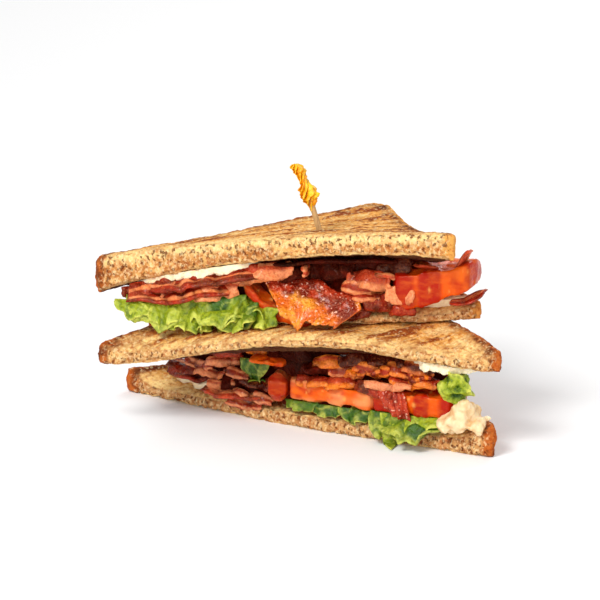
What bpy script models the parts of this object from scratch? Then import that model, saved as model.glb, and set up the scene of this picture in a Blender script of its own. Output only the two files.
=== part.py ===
"""A BLT sandwich cut into two triangular halves, one stacked on the other.

Each half is two slices of wholegrain toast round a filling of bacon, tomato,
lettuce and mayonnaise. A wooden pick with a paper frill pins the stack.

The plan has +X along the cut faces, +Y towards the back and +Z up. Every piece
is a body between two height surfaces, a lower and an upper one, over an
outline in the plan. Sizes are millimetres here and become metres in add_body.
"""
import math

import bmesh
import bpy
from mathutils import Vector

MM = 0.001
GAP = 0.35                       # clearance between pieces that touch
BREAD_GAP = 0.9                  # clearance between the two curved slices that touch
ORIGIN = Vector((-1.244, 54.186, 0.0))  # plan point that becomes the object's origin

# ---- bread: corners (x, y, top z), thickness at those corners ----------------
# press: how far the knife pushed the top down along the cut
# hump: how far the filling lifts the middle of the cut edge (top, underside)
# reach: share of the way to the back corner at which the hump has faded
# droop: how far the top sinks at the left and right tip; lift: how far the
# underside rises at the left tip
BREAD = {
    "bread_bottom": dict(
        left=(-72.4, 86.7, 9.8), right=(76.8, -1.8, 11.8), back=(46.0, 110.0, 12.0),
        bow=(0.0, 0.0), hump=(0.0, 0.0), power=1.0,
        reach=1.0, press=5.2, bulge=5.0, droop=(0.0, -2.2), lift=0.0),
    "bread_lower_lid": dict(
        left=(-82.0, 40.0, 34.2), right=(80.0, -1.0, 44.4), back=(20.5, 96.5, 46.5),
        thick=(10.6, 10.3, 11.5), bow=(1.8, 1.8), hump=(7.8, 10.0), power=2.0,
        reach=0.24, press=4.9, bulge=0.0, droop=(0.6, 2.4), lift=1.8),
    "bread_upper_base": dict(
        left=(-63.5, 46.0, 44.7), right=(72.0, 24.5, 55.3), back=(31.0, 100.5, 57.0),
        bow=(0.0, 0.0), hump=(0.0, 0.0), power=1.0,
        reach=1.0, press=3.6, bulge=1.5, droop=(0.0, 0.0), lift=0.0),
    "bread_top": dict(
        left=(-84.4, 56.8, 63.2), right=(61.0, 6.0, 88.6), back=(34.0, 92.5, 78.3),
        thick=(15.6, 11.2, 12.0), bow=(-1.2, -6.6), hump=(4.3, 7.7), power=0.7,
        reach=0.9, press=0.8, bulge=0.0, droop=(0.0, 0.0), lift=0.0),
}
TIP_SHARE = 0.86                 # a corner's share from which its droop or lift grows
CORNER_RADIUS = 9.0              # the loaf's own corner, at the back
TIP_RADIUS = 2.0                 # the two sharp tips, left and right
CRUST_ROUND = 2.4                # rounding of the crust's edges
CUT_ROUND = 0.9                  # rounding of the knife-cut edges
PRESS_DEPTH = 13.0               # how far in from the cut the bread is pressed
TIP_REACH = 0.07                 # share of the cut edge where the crust resists
RING_SHARES = (0.20, 0.55)       # rings of a slab, as shares of the way to its centre

# ---- pick --------------------------------------------------------------------
PICK_ENTRY = Vector((7.4, 47.0, 78.0))
PICK_LEAN = Vector((-0.29, 0.10, 1.0)).normalized()
PICK_RADIUS = 1.15
PICK_ABOVE = 24.0                # stick showing above the bread
PICK_BELOW = 65.0                # stick inside the sandwich
FRILL_START = 7.5                # height of the frill's foot above the bread
FRILL_LENGTH = 19.0
PICK_SIDES = 12

# ---- fillings ------------------------------------------------------------------
SPREAD = 1.9                     # height kept for the spread on each slice
TOMATO_THICK = 6.6
TOMATO_RIM = 1.2

# ---- colours: base colour, roughness -----------------------------------------
TOAST = ("toast", (0.55, 0.33, 0.15), 0.85)
MAYO = ("mayonnaise", (0.92, 0.86, 0.72), 0.35)
BACON = ("bacon", (0.36, 0.06, 0.03), 0.35)
CRISP_BACON = ("crisp_bacon", (0.14, 0.03, 0.015), 0.35)
TOMATO = ("tomato", (0.72, 0.07, 0.02), 0.25)
LETTUCE = ("lettuce", (0.30, 0.46, 0.06), 0.45)
DARK_LETTUCE = ("dark_lettuce", (0.07, 0.17, 0.02), 0.45)
WOOD = ("pick_wood", (0.62, 0.42, 0.22), 0.7)
FRILL = ("frill_paper", (0.95, 0.50, 0.03), 0.5)


# ---- strips: name, near and far end (x, y), width, low and high share of the
# filling's height, droop past the front, look
UPPER_STRIPS = (
    ("bacon_upper_left_low", (-67.0, 48.5), (-27.0, 41.0), 12.0, 0.54, 0.72, 0.4, BACON),
    ("bacon_upper_left_high", (-58.0, 47.5), (-14.0, 39.0), 12.0, 0.73, 0.97, 1.0, BACON),
    ("bacon_upper_back_left", (-47.0, 61.5), (-2.0, 65.5), 10.0, 0.68, 0.88, 0.0, BACON),
    ("bacon_upper_dark", (-9.0, 37.0), (38.0, 29.0), 15.0, 0.875, 0.99, 0.0, CRISP_BACON),
    ("bacon_upper_chunk", (24.0, 34.0), (38.5, 31.0), 11.0, 0.60, 0.80, 0.0, BACON),
    ("bacon_upper_fold", (18.0, 39.5), (29.0, 37.0), 10.0, 0.05, 0.34, 0.0, BACON),
    ("bacon_upper_back_mid", (22.0, 50.0), (27.0, 86.0), 12.0, 0.40, 0.80, 0.0, BACON),
    ("bacon_upper_back_right", (36.0, 86.0), (49.0, 55.0), 11.0, 0.20, 0.80, 0.0, BACON),
    ("lettuce_upper_back", (-36.0, 60.5), (18.0, 90.0), 12.0, 0.04, 0.42, 0.0, LETTUCE),
    ("bacon_upper_tip_high", (45.0, 32.0), (65.5, 21.5), 8.0, 0.90, 1.00, 0.0, BACON),
    ("bacon_upper_tip_low", (58.5, 26.0), (70.8, 22.5), 7.0, 0.12, 0.24, 0.0, BACON),
)
LOWER_STRIPS = (
    ("bacon_lower_left", (-52.0, 80.5), (-24.0, 64.5), 11.0, 0.02, 0.28, 0.0, BACON),
    ("bacon_lower_ragged", (-38.0, 61.5), (-14.0, 46.5), 7.0, 0.00, 0.19, 1.5, BACON),
    ("bacon_lower_dark", (6.5, 31.0), (5.0, 64.0), 16.0, 0.58, 0.92, 0.0, CRISP_BACON),
    ("bacon_lower_back_left", (-20.0, 65.0), (11.0, 85.0), 12.0, 0.62, 0.95, 0.0, BACON),
    ("bacon_lower_bit", (20.3, 24.0), (20.5, 37.0), 7.5, 0.55, 0.86, 0.0, BACON),
    ("bacon_lower_crisp_left", (31.5, 18.0), (30.0, 84.0), 12.5, 0.60, 0.90, 0.0, BACON),
    ("bacon_lower_crisp_right", (46.5, 11.0), (46.0, 62.0), 13.0, 0.62, 0.90, 0.0, BACON),
    ("bacon_lower_back", (-24.0, 80.0), (-6.0, 86.5), 10.0, 0.06, 0.36, 0.0, BACON),
)
OTHER_STRIPS = (
    ("tomato_lower_chunk", (-8.0, 40.5), (-6.5, 57.0), 8.0, 0.10, 0.68, 0.0, TOMATO),
    ("tomato_lower_bit", (-18.0, 49.5), (-5.5, 42.0), 8.0, 0.74, 0.93, 0.0, TOMATO),
    ("lettuce_lower_dark", (-17.5, 48.0), (-15.5, 70.0), 9.0, 0.22, 0.52, 0.0, DARK_LETTUCE),
    ("lettuce_lower_curl", (54.5, 11.0), (66.5, 6.0), 7.0, 0.58, 0.92, 0.0, LETTUCE),
)
PIERCED = ("bread_top", "bread_upper_base", "bread_lower_lid", "mayo_under_top",
           "mayo_upper_base", "mayo_under_lid", "tomato_lower_left", "lettuce_lower")


# ---- small helpers -------------------------------------------------------------
def clear_scene():
    for old in list(bpy.data.objects):
        bpy.data.objects.remove(old, do_unlink=True)


def smooth(value):
    """Ease from 0 to 1 as value goes from 0 to 1."""
    value = min(1.0, max(0.0, value))
    return value * value * (3.0 - 2.0 * value)


def make_material(look):
    name, colour, roughness = look
    material = bpy.data.materials.get(name)
    if material is None:
        material = bpy.data.materials.new(name)
        material.use_nodes = True
        shader = material.node_tree.nodes["Principled BSDF"]
        shader.inputs["Base Color"].default_value = (*colour, 1.0)
        shader.inputs["Roughness"].default_value = roughness
        shader.inputs["Metallic"].default_value = 0.0
    return material


def add_body(name, points, faces, look):
    """A closed mesh object with outward faces, from points in millimetres."""
    mesh = bpy.data.meshes.new(name)
    shape = bmesh.new()
    corners = [shape.verts.new((Vector(point) - ORIGIN) * MM) for point in points]
    for face in faces:
        shape.faces.new([corners[index] for index in face])
    bmesh.ops.triangulate(shape, faces=shape.faces, quad_method="SHORT_EDGE")
    if shape.calc_volume(signed=True) < 0.0:
        bmesh.ops.reverse_faces(shape, faces=shape.faces)
    shape.to_mesh(mesh)
    shape.free()
    mesh.shade_smooth()
    mesh.set_sharp_from_angle(angle=math.radians(50.0))
    mesh.materials.append(make_material(look))
    body = bpy.data.objects.new(name, mesh)
    bpy.context.scene.collection.objects.link(body)
    return body


# ---- height surfaces -------------------------------------------------------------
def weights(slice_sizes, x, y):
    """Shares of the left, right and back corner at a plan point."""
    (ax, ay, _), (bx, by, _), (cx, cy, _) = (
        slice_sizes["left"], slice_sizes["right"], slice_sizes["back"])
    area = (by - cy) * (ax - cx) + (cx - bx) * (ay - cy)
    left = ((by - cy) * (x - cx) + (cx - bx) * (y - cy)) / area
    right = ((cy - ay) * (x - cx) + (ax - cx) * (y - cy)) / area
    return left, right, 1.0 - left - right


def along_cut(left, right):
    """Place along the cut edge, from 0 at the left tip to 1 at the right."""
    total = max(left + right, 0.05)
    return min(1.0, max(0.0, right / total))


def arch(slice_sizes, left, right, back):
    """Share of the hump at a point: full in the middle of the cut edge."""
    place = along_cut(left, right)
    fade = 1.0 - smooth(back / slice_sizes["reach"])
    return (4.0 * place * (1.0 - place)) ** slice_sizes["power"] * fade


def cut_depth(slice_sizes, x, y):
    """Distance behind the straight cut edge."""
    ax, ay, _ = slice_sizes["left"]
    bx, by, _ = slice_sizes["right"]
    length = math.hypot(bx - ax, by - ay)
    return ((bx - ax) * (y - ay) - (by - ay) * (x - ax)) / length


def at_tip(share):
    """From 0 to 1 as a corner's share of a point grows to 1."""
    return smooth((share - TIP_SHARE) / (1.0 - TIP_SHARE))


def crown(name):
    """Upper surface of a slice before the knife pressed its edge."""
    sizes = BREAD[name]

    def height(x, y):
        left, right, back = weights(sizes, x, y)
        flat = left * sizes["left"][2] + right * sizes["right"][2] + back * sizes["back"][2]
        legs = 4.0 * (sizes["bow"][0] * left * back + sizes["bow"][1] * right * back)
        return flat + legs + sizes["hump"][0] * arch(sizes, left, right, back)
    return height


def top_of(name):
    """Upper surface of a slice, pressed down along the cut."""
    sizes = BREAD[name]
    full = crown(name)

    def height(x, y):
        left, right, _ = weights(sizes, x, y)
        place = along_cut(left, right)
        tips = smooth(place / TIP_REACH) * smooth((1.0 - place) / TIP_REACH)
        near = 1.0 - smooth(cut_depth(sizes, x, y) / PRESS_DEPTH)
        droop = sizes["droop"][0] * at_tip(left) + sizes["droop"][1] * at_tip(right)
        return full(x, y) - sizes["press"] * near * tips - droop
    return height


def under_of(name):
    """Lower surface of a slice."""
    sizes = BREAD[name]
    if name == "bread_bottom":
        return lambda x, y: 0.0
    if name == "bread_upper_base":
        lid = crown("bread_lower_lid")
        return lambda x, y: lid(x, y) + BREAD_GAP
    full = crown(name)

    def height(x, y):
        left, right, back = weights(sizes, x, y)
        thick = sum(share * value for share, value in zip((left, right, back), sizes["thick"]))
        extra = (sizes["hump"][1] - sizes["hump"][0]) * arch(sizes, left, right, back)
        return full(x, y) - thick + extra + sizes["lift"] * at_tip(left)
    return height


# ---- outlines in the plan ----------------------------------------------------------
def rounded_outline(corners, radii, spacing, bulge=0.0):
    """Closed outline through corners with round corners and even spacing.

    The first side, corners 0 to 1, swells outward by bulge."""
    count = len(corners)
    points = []
    for index, corner in enumerate(corners):
        here = Vector(corner)
        before = Vector(corners[index - 1])
        after = Vector(corners[(index + 1) % count])
        to_before = (before - here).normalized()
        to_after = (after - here).normalized()
        half_angle = to_before.angle(to_after) / 2.0
        setback = radii[index] / math.tan(half_angle)
        start = here + to_before * setback
        end = here + to_after * setback
        middle = here + (to_before + to_after).normalized() * radii[index] / math.sin(half_angle)
        steps = max(2, round(radii[index] / 3.0) + 1)
        for step in range(steps + 1):
            spoke = start.lerp(end, step / steps) - middle
            points.append(middle + spoke.normalized() * radii[index])
        next_half = to_after.angle((Vector(corners[(index + 2) % count]) - after).normalized())
        reach = radii[(index + 1) % count] / math.tan((math.pi - next_half) / 2.0)
        stop = after - to_after * reach
        length = (stop - end).length
        pieces = max(2, round(length / spacing))
        outward = Vector((to_after.y, -to_after.x))
        for piece in range(1, pieces):
            share = piece / pieces
            swell = bulge * math.sin(math.pi * share) if index == 0 else 0.0
            points.append(end.lerp(stop, share) + outward * swell)
    return points


def slice_outline(name, spacing=14.0):
    sizes = BREAD[name]
    corners = [sizes[key][:2] for key in ("left", "right", "back")]
    radii = (TIP_RADIUS, TIP_RADIUS, CORNER_RADIUS)
    return rounded_outline(corners, radii, spacing, sizes["bulge"])


def disc_segment(centre, radius, chord_start, chord_end, sides=18):
    """A round slice with its front cut off along a chord, counter-clockwise."""
    middle = Vector(centre)
    start = Vector(chord_start)
    direction = (Vector(chord_end) - start).normalized()
    inward = Vector((-direction.y, direction.x))
    points = []
    for side in range(sides):
        angle = 2.0 * math.pi * side / sides
        uneven = 1.0 + 0.03 * math.sin(3.0 * angle + 0.7)
        spot = middle + Vector((math.cos(angle), math.sin(angle))) * radius * uneven
        shortfall = (spot - start).dot(inward)
        if shortfall < 0.0:
            spot -= inward * shortfall
        points.append(spot)
    kept = [points[0]]
    for spot in points[1:]:
        if (spot - kept[-1]).length > 1.2:
            kept.append(spot)
    return kept


# ---- bodies ----------------------------------------------------------------------
def shrink_one(outline, index, amount):
    along = outline[(index + 1) % len(outline)] - outline[index - 1]
    inward = Vector((-along.y, along.x)).normalized()
    return outline[index] + inward * amount


def inner_rings(outline, radii, shares):
    """The rim moved in by its rounding, then rings closing on the centre."""
    centre = sum(outline, Vector((0.0, 0.0))) / len(outline)
    inner = [shrink_one(outline, index, radius) for index, radius in enumerate(radii)]
    rings = [[spot.lerp(centre, share) for spot in inner] for share in (0.0, *shares)]
    return rings, centre


def slab(name, outline, low, high, rim, look, shares=RING_SHARES):
    """A body over a star-shaped outline; rim(point) is its edge rounding."""
    count = len(outline)
    radii = [rim(point) for point in outline]
    rings, centre = inner_rings(outline, radii, shares)
    edge = [shrink_one(outline, index, radius * 0.3) for index, radius in enumerate(radii)]

    def raised(spots, surface, lift):
        return [(spot.x, spot.y, surface(spot.x, spot.y) + lift * radii[index])
                for index, spot in enumerate(spots)]

    loops = [raised(spots, low, 0.0) for spots in reversed(rings)]
    loops.append(raised(edge, low, 0.3))
    loops.append([(spot.x, spot.y, (low(spot.x, spot.y) + high(spot.x, spot.y)) / 2.0)
                  for spot in outline])
    loops.append(raised(edge, high, -0.3))
    loops += [raised(spots, high, 0.0) for spots in rings]

    points = [spot for loop in loops for spot in loop]
    points.append((centre.x, centre.y, low(centre.x, centre.y)))
    points.append((centre.x, centre.y, high(centre.x, centre.y)))
    return add_body(name, points, loop_faces(len(loops), count, len(points) - 2), look)


def loop_faces(loops, count, floor_index):
    """Faces of stacked closed loops, capped by fans to two centre points."""
    faces = []
    for row in range(loops - 1):
        for index in range(count):
            following = (index + 1) % count
            faces.append((row * count + index, row * count + following,
                          (row + 1) * count + following, (row + 1) * count + index))
    last = (loops - 1) * count
    for index in range(count):
        following = (index + 1) % count
        faces.append((index, floor_index, following))
        faces.append((last + index, last + following, floor_index + 1))
    return faces


def strip(name, near, far, width, low, high, look, wobble=1.0, steps=7, across=3):
    """A ribbon from near to far in the plan, between two height surfaces.

    wobble waves its two long edges; the rim is pinched to a round edge."""
    start = Vector(near)
    end = Vector(far)
    direction = (end - start).normalized()
    side = Vector((direction.y, -direction.x))
    length = (end - start).length
    rows = []
    for row in range(steps + 1):
        share = row / steps
        sway = wobble * math.sin(2.0 * math.pi * share * length / 24.0 + start.x)
        half = width / 2.0 * (1.0 - 0.12 * abs(2.0 * share - 1.0) ** 6)
        middle = start.lerp(end, share) + side * sway
        rows.append([middle + side * half * (2.0 * column / across - 1.0)
                     for column in range(across + 1)])
    return grid_body(name, rows, low, high, look)


def grid_body(name, rows, low, high, look, pinch=0.5):
    """A body over a grid of plan points, pinched along its rim."""
    lines = len(rows)
    columns = len(rows[0])
    lower = []
    upper = []
    for line, row in enumerate(rows):
        for column, spot in enumerate(row):
            floor = low(spot.x, spot.y)
            roof = max(high(spot.x, spot.y), floor + 0.8)
            on_rim = line in (0, lines - 1) or column in (0, columns - 1)
            share = pinch if on_rim else 1.0
            middle = (floor + roof) / 2.0
            half = (roof - floor) / 2.0 * share
            lower.append((spot.x, spot.y, middle - half))
            upper.append((spot.x, spot.y, middle + half))
    points = lower + upper
    offset = len(lower)
    faces = []
    for line in range(lines - 1):
        for column in range(columns - 1):
            a = line * columns + column
            b = a + 1
            c = a + columns + 1
            d = a + columns
            faces.append((a, d, c, b))
            faces.append((offset + a, offset + b, offset + c, offset + d))
    rim = [column for column in range(columns)]
    rim += [line * columns + columns - 1 for line in range(1, lines)]
    rim += [(lines - 1) * columns + column for column in range(columns - 2, -1, -1)]
    rim += [line * columns for line in range(lines - 2, 0, -1)]
    for index, here in enumerate(rim):
        there = rim[(index + 1) % len(rim)]
        faces.append((here, there, offset + there, offset + here))
    return add_body(name, points, faces, look)


def bread_rim(name):
    """Edge rounding of a slice: small on the knife cut, large on the crust."""
    sizes = BREAD[name]

    def rim(point):
        share = smooth((cut_depth(sizes, point.x, point.y) - 1.0) / 8.0)
        return CUT_ROUND + (CRUST_ROUND - CUT_ROUND) * share
    return rim


def make_bread(name):
    slab(name, slice_outline(name), under_of(name), top_of(name), bread_rim(name), TOAST)


def film(name, bread, surface, lift, thickness, look):
    """A spread on one face of a slice, on the same rings as the slice's own."""
    outline = slice_outline(bread)
    radii = [bread_rim(bread)(point) for point in outline]
    rings, centre = inner_rings(outline, radii, RING_SHARES)
    side = 1.0 if lift > 0.0 else -1.0

    def raised(spots, share):
        return [(spot.x, spot.y, surface(spot.x, spot.y) + lift
                 + side * share * thickness(spot.x, spot.y)) for spot in spots]

    loops = [raised(spots, 0.0) for spots in reversed(rings)]
    loops += [raised(spots, 1.0) for spots in rings]
    points = [spot for loop in loops for spot in loop]
    points += raised([centre], 0.0) + raised([centre], 1.0)
    faces = loop_faces(len(loops), len(outline), len(points) - 2)
    return add_body(name, points, faces, look)


# ---- fillings: where they lie ------------------------------------------------------
def upper_front(x):
    """Where the upper filling's front face runs, as y at x."""
    return 50.0 - 0.224 * (x + 68.0)


def lower_front(x):
    """Where the lower filling's front face runs, as y at x."""
    share = min(1.0, max(0.0, (x + 63.7) / 138.0))
    return 81.0 - 0.587 * (x + 63.7) - 5.0 * math.sin(math.pi * share)


UPPER = (top_of("bread_upper_base"), under_of("bread_top"), upper_front)
LOWER = (top_of("bread_bottom"), under_of("bread_lower_lid"), lower_front)


def ripple(x, y):
    """Waves that run through a whole filling."""
    return 0.9 * math.sin(x / 3.6 + 0.5 * math.sin(y / 7.0)) + 0.5 * math.sin(y / 4.1 + x / 9.0)


def layer(half, share, hang=0.0, reach=10.0):
    """A surface at a share of the filling's height, which droops past the front."""
    floor, ceiling, front = half

    def height(x, y):
        low = floor(x, y) + SPREAD
        high = ceiling(x, y) - SPREAD
        wave = ripple(x, y) * 4.0 * share * (1.0 - share)
        past = smooth((front(x) - y) / reach)
        return low + share * (high - low) + wave - hang * past
    return height


def raised_by(surface, amount):
    return lambda x, y: surface(x, y) + amount


# ---- spreads ---------------------------------------------------------------------
def thin_spread(x, y):
    return 1.1 + 0.3 * math.sin(x / 5.0) * math.sin(y / 6.0)


def make_spreads():
    for name, bread, surface, lift in (
            ("mayo_under_top", "bread_top", under_of("bread_top"), -GAP),
            ("mayo_upper_base", "bread_upper_base", top_of("bread_upper_base"), GAP),
            ("mayo_under_lid", "bread_lower_lid", under_of("bread_lower_lid"), -GAP),
            ("mayo_bottom", "bread_bottom", top_of("bread_bottom"), GAP)):
        film(name, bread, surface, lift, thin_spread, MAYO)
    make_mayo_lump()


def make_mayo_lump():
    """The dollop squeezed out at the right of the lower half."""
    middle = Vector((66.8, 5.6))
    radius = 5.2
    outline = [middle + Vector((math.cos(turn), math.sin(turn))) * radius
               * (1.0 + 0.1 * math.sin(3.0 * turn)) for turn in turns(16)]
    floor = top_of("bread_bottom")

    def low(x, y):
        return floor(x, y) + SPREAD + 2.2

    def high(x, y):
        away = min(1.0, math.hypot(x - middle.x, y - middle.y) / (radius * 1.1))
        return floor(x, y) + SPREAD + 4.2 + 6.5 * math.sqrt(1.0 - away * away)
    slab("mayo_lump", outline, low, high, lambda point: 0.8, MAYO, (0.5,))


def turns(count):
    return [2.0 * math.pi * step / count for step in range(count)]


# ---- bacon -----------------------------------------------------------------------
def make_strips(half, table):
    for name, near, far, width, low, high, hang, look in table:
        strip(name, near, far, width, layer(half, low + 0.012, hang),
              layer(half, high - 0.012, hang), look)


def make_front_bacon():
    """The broad glossy rasher that hangs down the front of the upper half."""
    depth = 17.0
    start = -10.0
    rows = []
    for line in range(9):
        x = -11.0 + 39.0 * line / 8.0
        deep = depth - 6.0 * smooth((x - 12.0) / 8.0)
        rows.append([Vector((x, upper_front(x) + start + deep * column / 5.0))
                     for column in range(6)])

    def middle(x, y):
        share = (y - upper_front(x) - start) / depth
        lean = 2.0 * smooth((4.0 - x) / 14.0)
        return 45.4 + 14.1 * share + lean + 0.8 * math.sin(x / 2.6) * (1.0 - share)
    grid_body("bacon_upper_front", rows, middle, raised_by(middle, 2.8), BACON)


def make_draped_bacon():
    """The rasher laid over the edge of the lower right tomato slice."""
    rows = []
    for line in range(9):
        x = 31.0 + 17.0 * line / 8.0
        rows.append([Vector((x, lower_front(x) - 6.5 + 9.0 * column / 5.0))
                     for column in range(6)])

    def low(x, y):
        past = smooth((lower_front(x) - y - 2.6) / 3.4)
        return 20.4 - 9.5 * past + 0.4 * math.sin(x / 1.9)
    grid_body("bacon_lower_drape", rows, low, raised_by(low, 2.3), BACON)


# ---- tomato ----------------------------------------------------------------------
def tomato_slice(name, foot_x, inset, radius, front, offset, low, high):
    """A round slice of tomato cut off along the front line at foot_x."""
    step = 1.0
    start = Vector((foot_x, front(foot_x) + offset))
    along = Vector((step, front(foot_x + step) - front(foot_x))).normalized()
    centre = start + Vector((-along.y, along.x)) * inset
    outline = disc_segment(centre, radius, start, start + along)
    slab(name, outline, low, high, lambda point: TOMATO_RIM, TOMATO, (0.5,))


def make_tomatoes():
    upper_floor = raised_by(UPPER[0], SPREAD + 0.8)
    lower_floor = raised_by(LOWER[0], SPREAD + 3.9)

    def lifted(x, y):
        """The upper left slice leans up on the lettuce at its left end."""
        near = smooth((upper_front(x) + 20.0 - y) / 12.0)
        return upper_floor(x, y) + 6.0 * near * smooth((-9.0 - x) / 12.0)

    def slanted(x, y):
        """The upper right slice rises to the right, almost to the bread."""
        return max(51.6 + 0.34 * (x - 41.0), UPPER[0](x, y) + SPREAD + 1.0)

    tomato_slice("tomato_upper_left", -9.0, 9.5, 15.0, upper_front, 0.5,
                 lifted, raised_by(lifted, TOMATO_THICK - 1.8))
    tomato_slice("tomato_upper_right", 51.0, 10.0, 18.0, upper_front, -2.5,
                 slanted, raised_by(slanted, TOMATO_THICK + 1.0))
    tomato_slice("tomato_lower_left", 11.0, 8.5, 18.5, lower_front, -2.0,
                 lower_floor, raised_by(lower_floor, TOMATO_THICK))
    tomato_slice("tomato_lower_right", 44.5, 7.0, 17.0, lower_front, -2.0,
                 lower_floor, raised_by(lower_floor, TOMATO_THICK))
    for name, centre, radius in (("tomato_lower_back", (13.0, 76.0), 16.0),
                                 ("tomato_lower_back_right", (43.5, 58.5), 13.5)):
        outline = disc_segment(centre, radius, (-90.0, 0.0), (90.0, 0.0))
        slab(name, outline, lower_floor, raised_by(lower_floor, TOMATO_THICK),
             lambda point: TOMATO_RIM, TOMATO, (0.5,))


# ---- lettuce ---------------------------------------------------------------------
def make_upper_lettuce():
    """The leaf on the left of the upper half, whose frill falls past the bread."""
    across = 6
    along = 15
    rows = []
    for line in range(along + 1):
        x = -67.5 + 52.5 * line / along
        deep = 8.0
        out = 9.5 + 1.5 * math.sin(x / 3.0)
        rows.append([Vector((x, upper_front(x) - out + (out + deep) * column / across))
                     for column in range(across + 1)])
    lid = top_of("bread_lower_lid")

    def low(x, y):
        inside = smooth((y - upper_front(x) + 12.0) / 9.0)
        rest = lid(x, y) + 0.8
        ruffle = 0.8 + 0.8 * math.sin(x / 2.2)
        bed = UPPER[0](x, y) + SPREAD + 1.0
        return rest + inside * (bed - rest) + (1.0 - inside) * ruffle

    def high(x, y):
        return low(x, y) + 2.2 + 0.6 * math.sin(x / 2.2 + 0.6)
    grid_body("lettuce_upper", rows, low, high, LETTUCE)


def make_lower_lettuce():
    """The leaf under the lower tomato, whose frill hangs down to the table."""
    across = 9
    along = 13
    rows = []
    for line in range(along + 1):
        x = -3.0 + 62.0 * line / along
        out = 2.0 + 11.5 * frill_share(x)
        deep = 54.0 - 0.3 * abs(x - 12.0) - 9.0 * smooth((x - 45.0) / 15.0)
        rows.append([Vector((x, lower_front(x) - out + (out + deep) * column / across))
                     for column in range(across + 1)])

    def low(x, y):
        past = smooth((lower_front(x) - y - 2.4) / 9.0)
        rest = 0.8 + 0.5 * math.sin(x / 2.0)
        inside = LOWER[0](x, y) + SPREAD + 0.5
        return inside + past * (rest - inside)

    def high(x, y):
        return low(x, y) + 2.5 + 0.3 * math.sin(x / 2.0)
    grid_body("lettuce_lower", rows, low, high, LETTUCE)


def frill_share(x):
    """How far the lower leaf's frill hangs out, most at its middle."""
    return smooth((x - 13.0) / 16.0) * smooth((54.0 - x) / 16.0)


# ---- pick ------------------------------------------------------------------------
def tube_along_pick(name, start, end, radii, look):
    """A turned body on the pick's axis; radii are shares of its length and radius."""
    turn = PICK_LEAN.to_track_quat("Z", "Y")
    loops = []
    for share, radius in radii:
        middle = PICK_ENTRY + PICK_LEAN * (start + (end - start) * share)
        loops.append([middle + turn @ Vector((math.cos(angle), math.sin(angle), 0.0)) * radius
                      for angle in turns(PICK_SIDES)])
    points = [spot for loop in loops for spot in loop]
    points.append(PICK_ENTRY + PICK_LEAN * start)
    points.append(PICK_ENTRY + PICK_LEAN * end)
    return add_body(name, points, loop_faces(len(loops), PICK_SIDES, len(points) - 2), look)


def make_pick():
    end = PICK_ABOVE
    tube_along_pick("pick_stick", -PICK_BELOW, end,
                    ((0.0, 0.3), (0.08, PICK_RADIUS), (1.0, PICK_RADIUS)), WOOD)
    foot = FRILL_START
    wide = PICK_RADIUS + 2.6
    frill = tube_along_pick("frill", foot, foot + FRILL_LENGTH,
                            ((0.0, 1.9), (0.3, wide), (0.5, wide * 0.8), (0.62, 2.2),
                             (0.8, wide * 0.7), (1.0, 2.4)), FRILL)
    drill("frill_bore", [frill], -1.0, PICK_ABOVE - FRILL_START + 0.4, foot)


def drill(name, bodies, start, end, base=0.0):
    """Cut room for the pick through bodies."""
    cutter = tube_along_pick(name, base + start, base + end,
                             ((0.0, PICK_RADIUS + GAP), (1.0, PICK_RADIUS + GAP)), WOOD)
    cutter.hide_render = True
    cutter.display_type = "WIRE"
    for body in bodies:
        cut = body.modifiers.new("pick_hole", "BOOLEAN")
        cut.operation = "DIFFERENCE"
        cut.object = cutter


def main():
    clear_scene()
    for name in BREAD:
        make_bread(name)
    make_spreads()
    make_strips(UPPER, UPPER_STRIPS)
    make_strips(LOWER, LOWER_STRIPS)
    make_strips(LOWER, OTHER_STRIPS)
    make_front_bacon()
    make_draped_bacon()
    make_tomatoes()
    make_upper_lettuce()
    make_lower_lettuce()
    make_pick()
    drill("pick_bore", [bpy.data.objects[name] for name in PIERCED], -PICK_BELOW - 1.0, 6.0)


main()
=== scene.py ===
"""Looks of the BLT sandwich: toast, mayonnaise, bacon, tomato, lettuce and pick.

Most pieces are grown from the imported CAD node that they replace: a slice of bread
is that node's mesh, made fine and given pores; a rasher or a leaf is a thin
waving sheet between the node's floor and roof. The ribbons of bacon and the
frills of lettuce at the fronts replace no node: they follow the gap between two
slices. Lengths are millimetres and become metres where a mesh is written; the
view and the lamps are in metres. Colours are given as sRGB from 0 to 255.
"""
import itertools
import math

import bmesh
import bpy
import numpy as np
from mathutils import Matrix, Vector
from mathutils.bvhtree import BVHTree


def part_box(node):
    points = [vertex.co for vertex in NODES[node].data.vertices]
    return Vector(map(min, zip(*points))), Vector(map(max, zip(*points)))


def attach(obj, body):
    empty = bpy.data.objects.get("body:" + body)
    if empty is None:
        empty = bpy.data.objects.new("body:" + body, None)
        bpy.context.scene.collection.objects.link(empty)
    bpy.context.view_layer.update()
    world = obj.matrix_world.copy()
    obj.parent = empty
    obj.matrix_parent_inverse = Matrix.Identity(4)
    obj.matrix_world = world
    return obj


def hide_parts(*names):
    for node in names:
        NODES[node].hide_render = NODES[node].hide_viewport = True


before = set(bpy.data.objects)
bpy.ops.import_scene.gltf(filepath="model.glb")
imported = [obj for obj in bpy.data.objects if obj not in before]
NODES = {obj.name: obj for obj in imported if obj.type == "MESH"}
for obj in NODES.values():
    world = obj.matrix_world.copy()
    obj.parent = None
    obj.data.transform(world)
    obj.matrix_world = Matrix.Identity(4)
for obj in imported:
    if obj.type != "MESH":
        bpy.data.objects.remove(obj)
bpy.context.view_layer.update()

MM = 0.001
FAR = 500.0                       # well over or under the part, to look at it from


# ---- numbers and colours
def linear(red, green, blue):
    """A colour given as sRGB, as the linear values that shaders use."""
    shares = np.array([red, green, blue]) / 255.0
    return np.where(shares <= 0.04045, shares / 12.92, ((shares + 0.055) / 1.055) ** 2.4)


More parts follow.
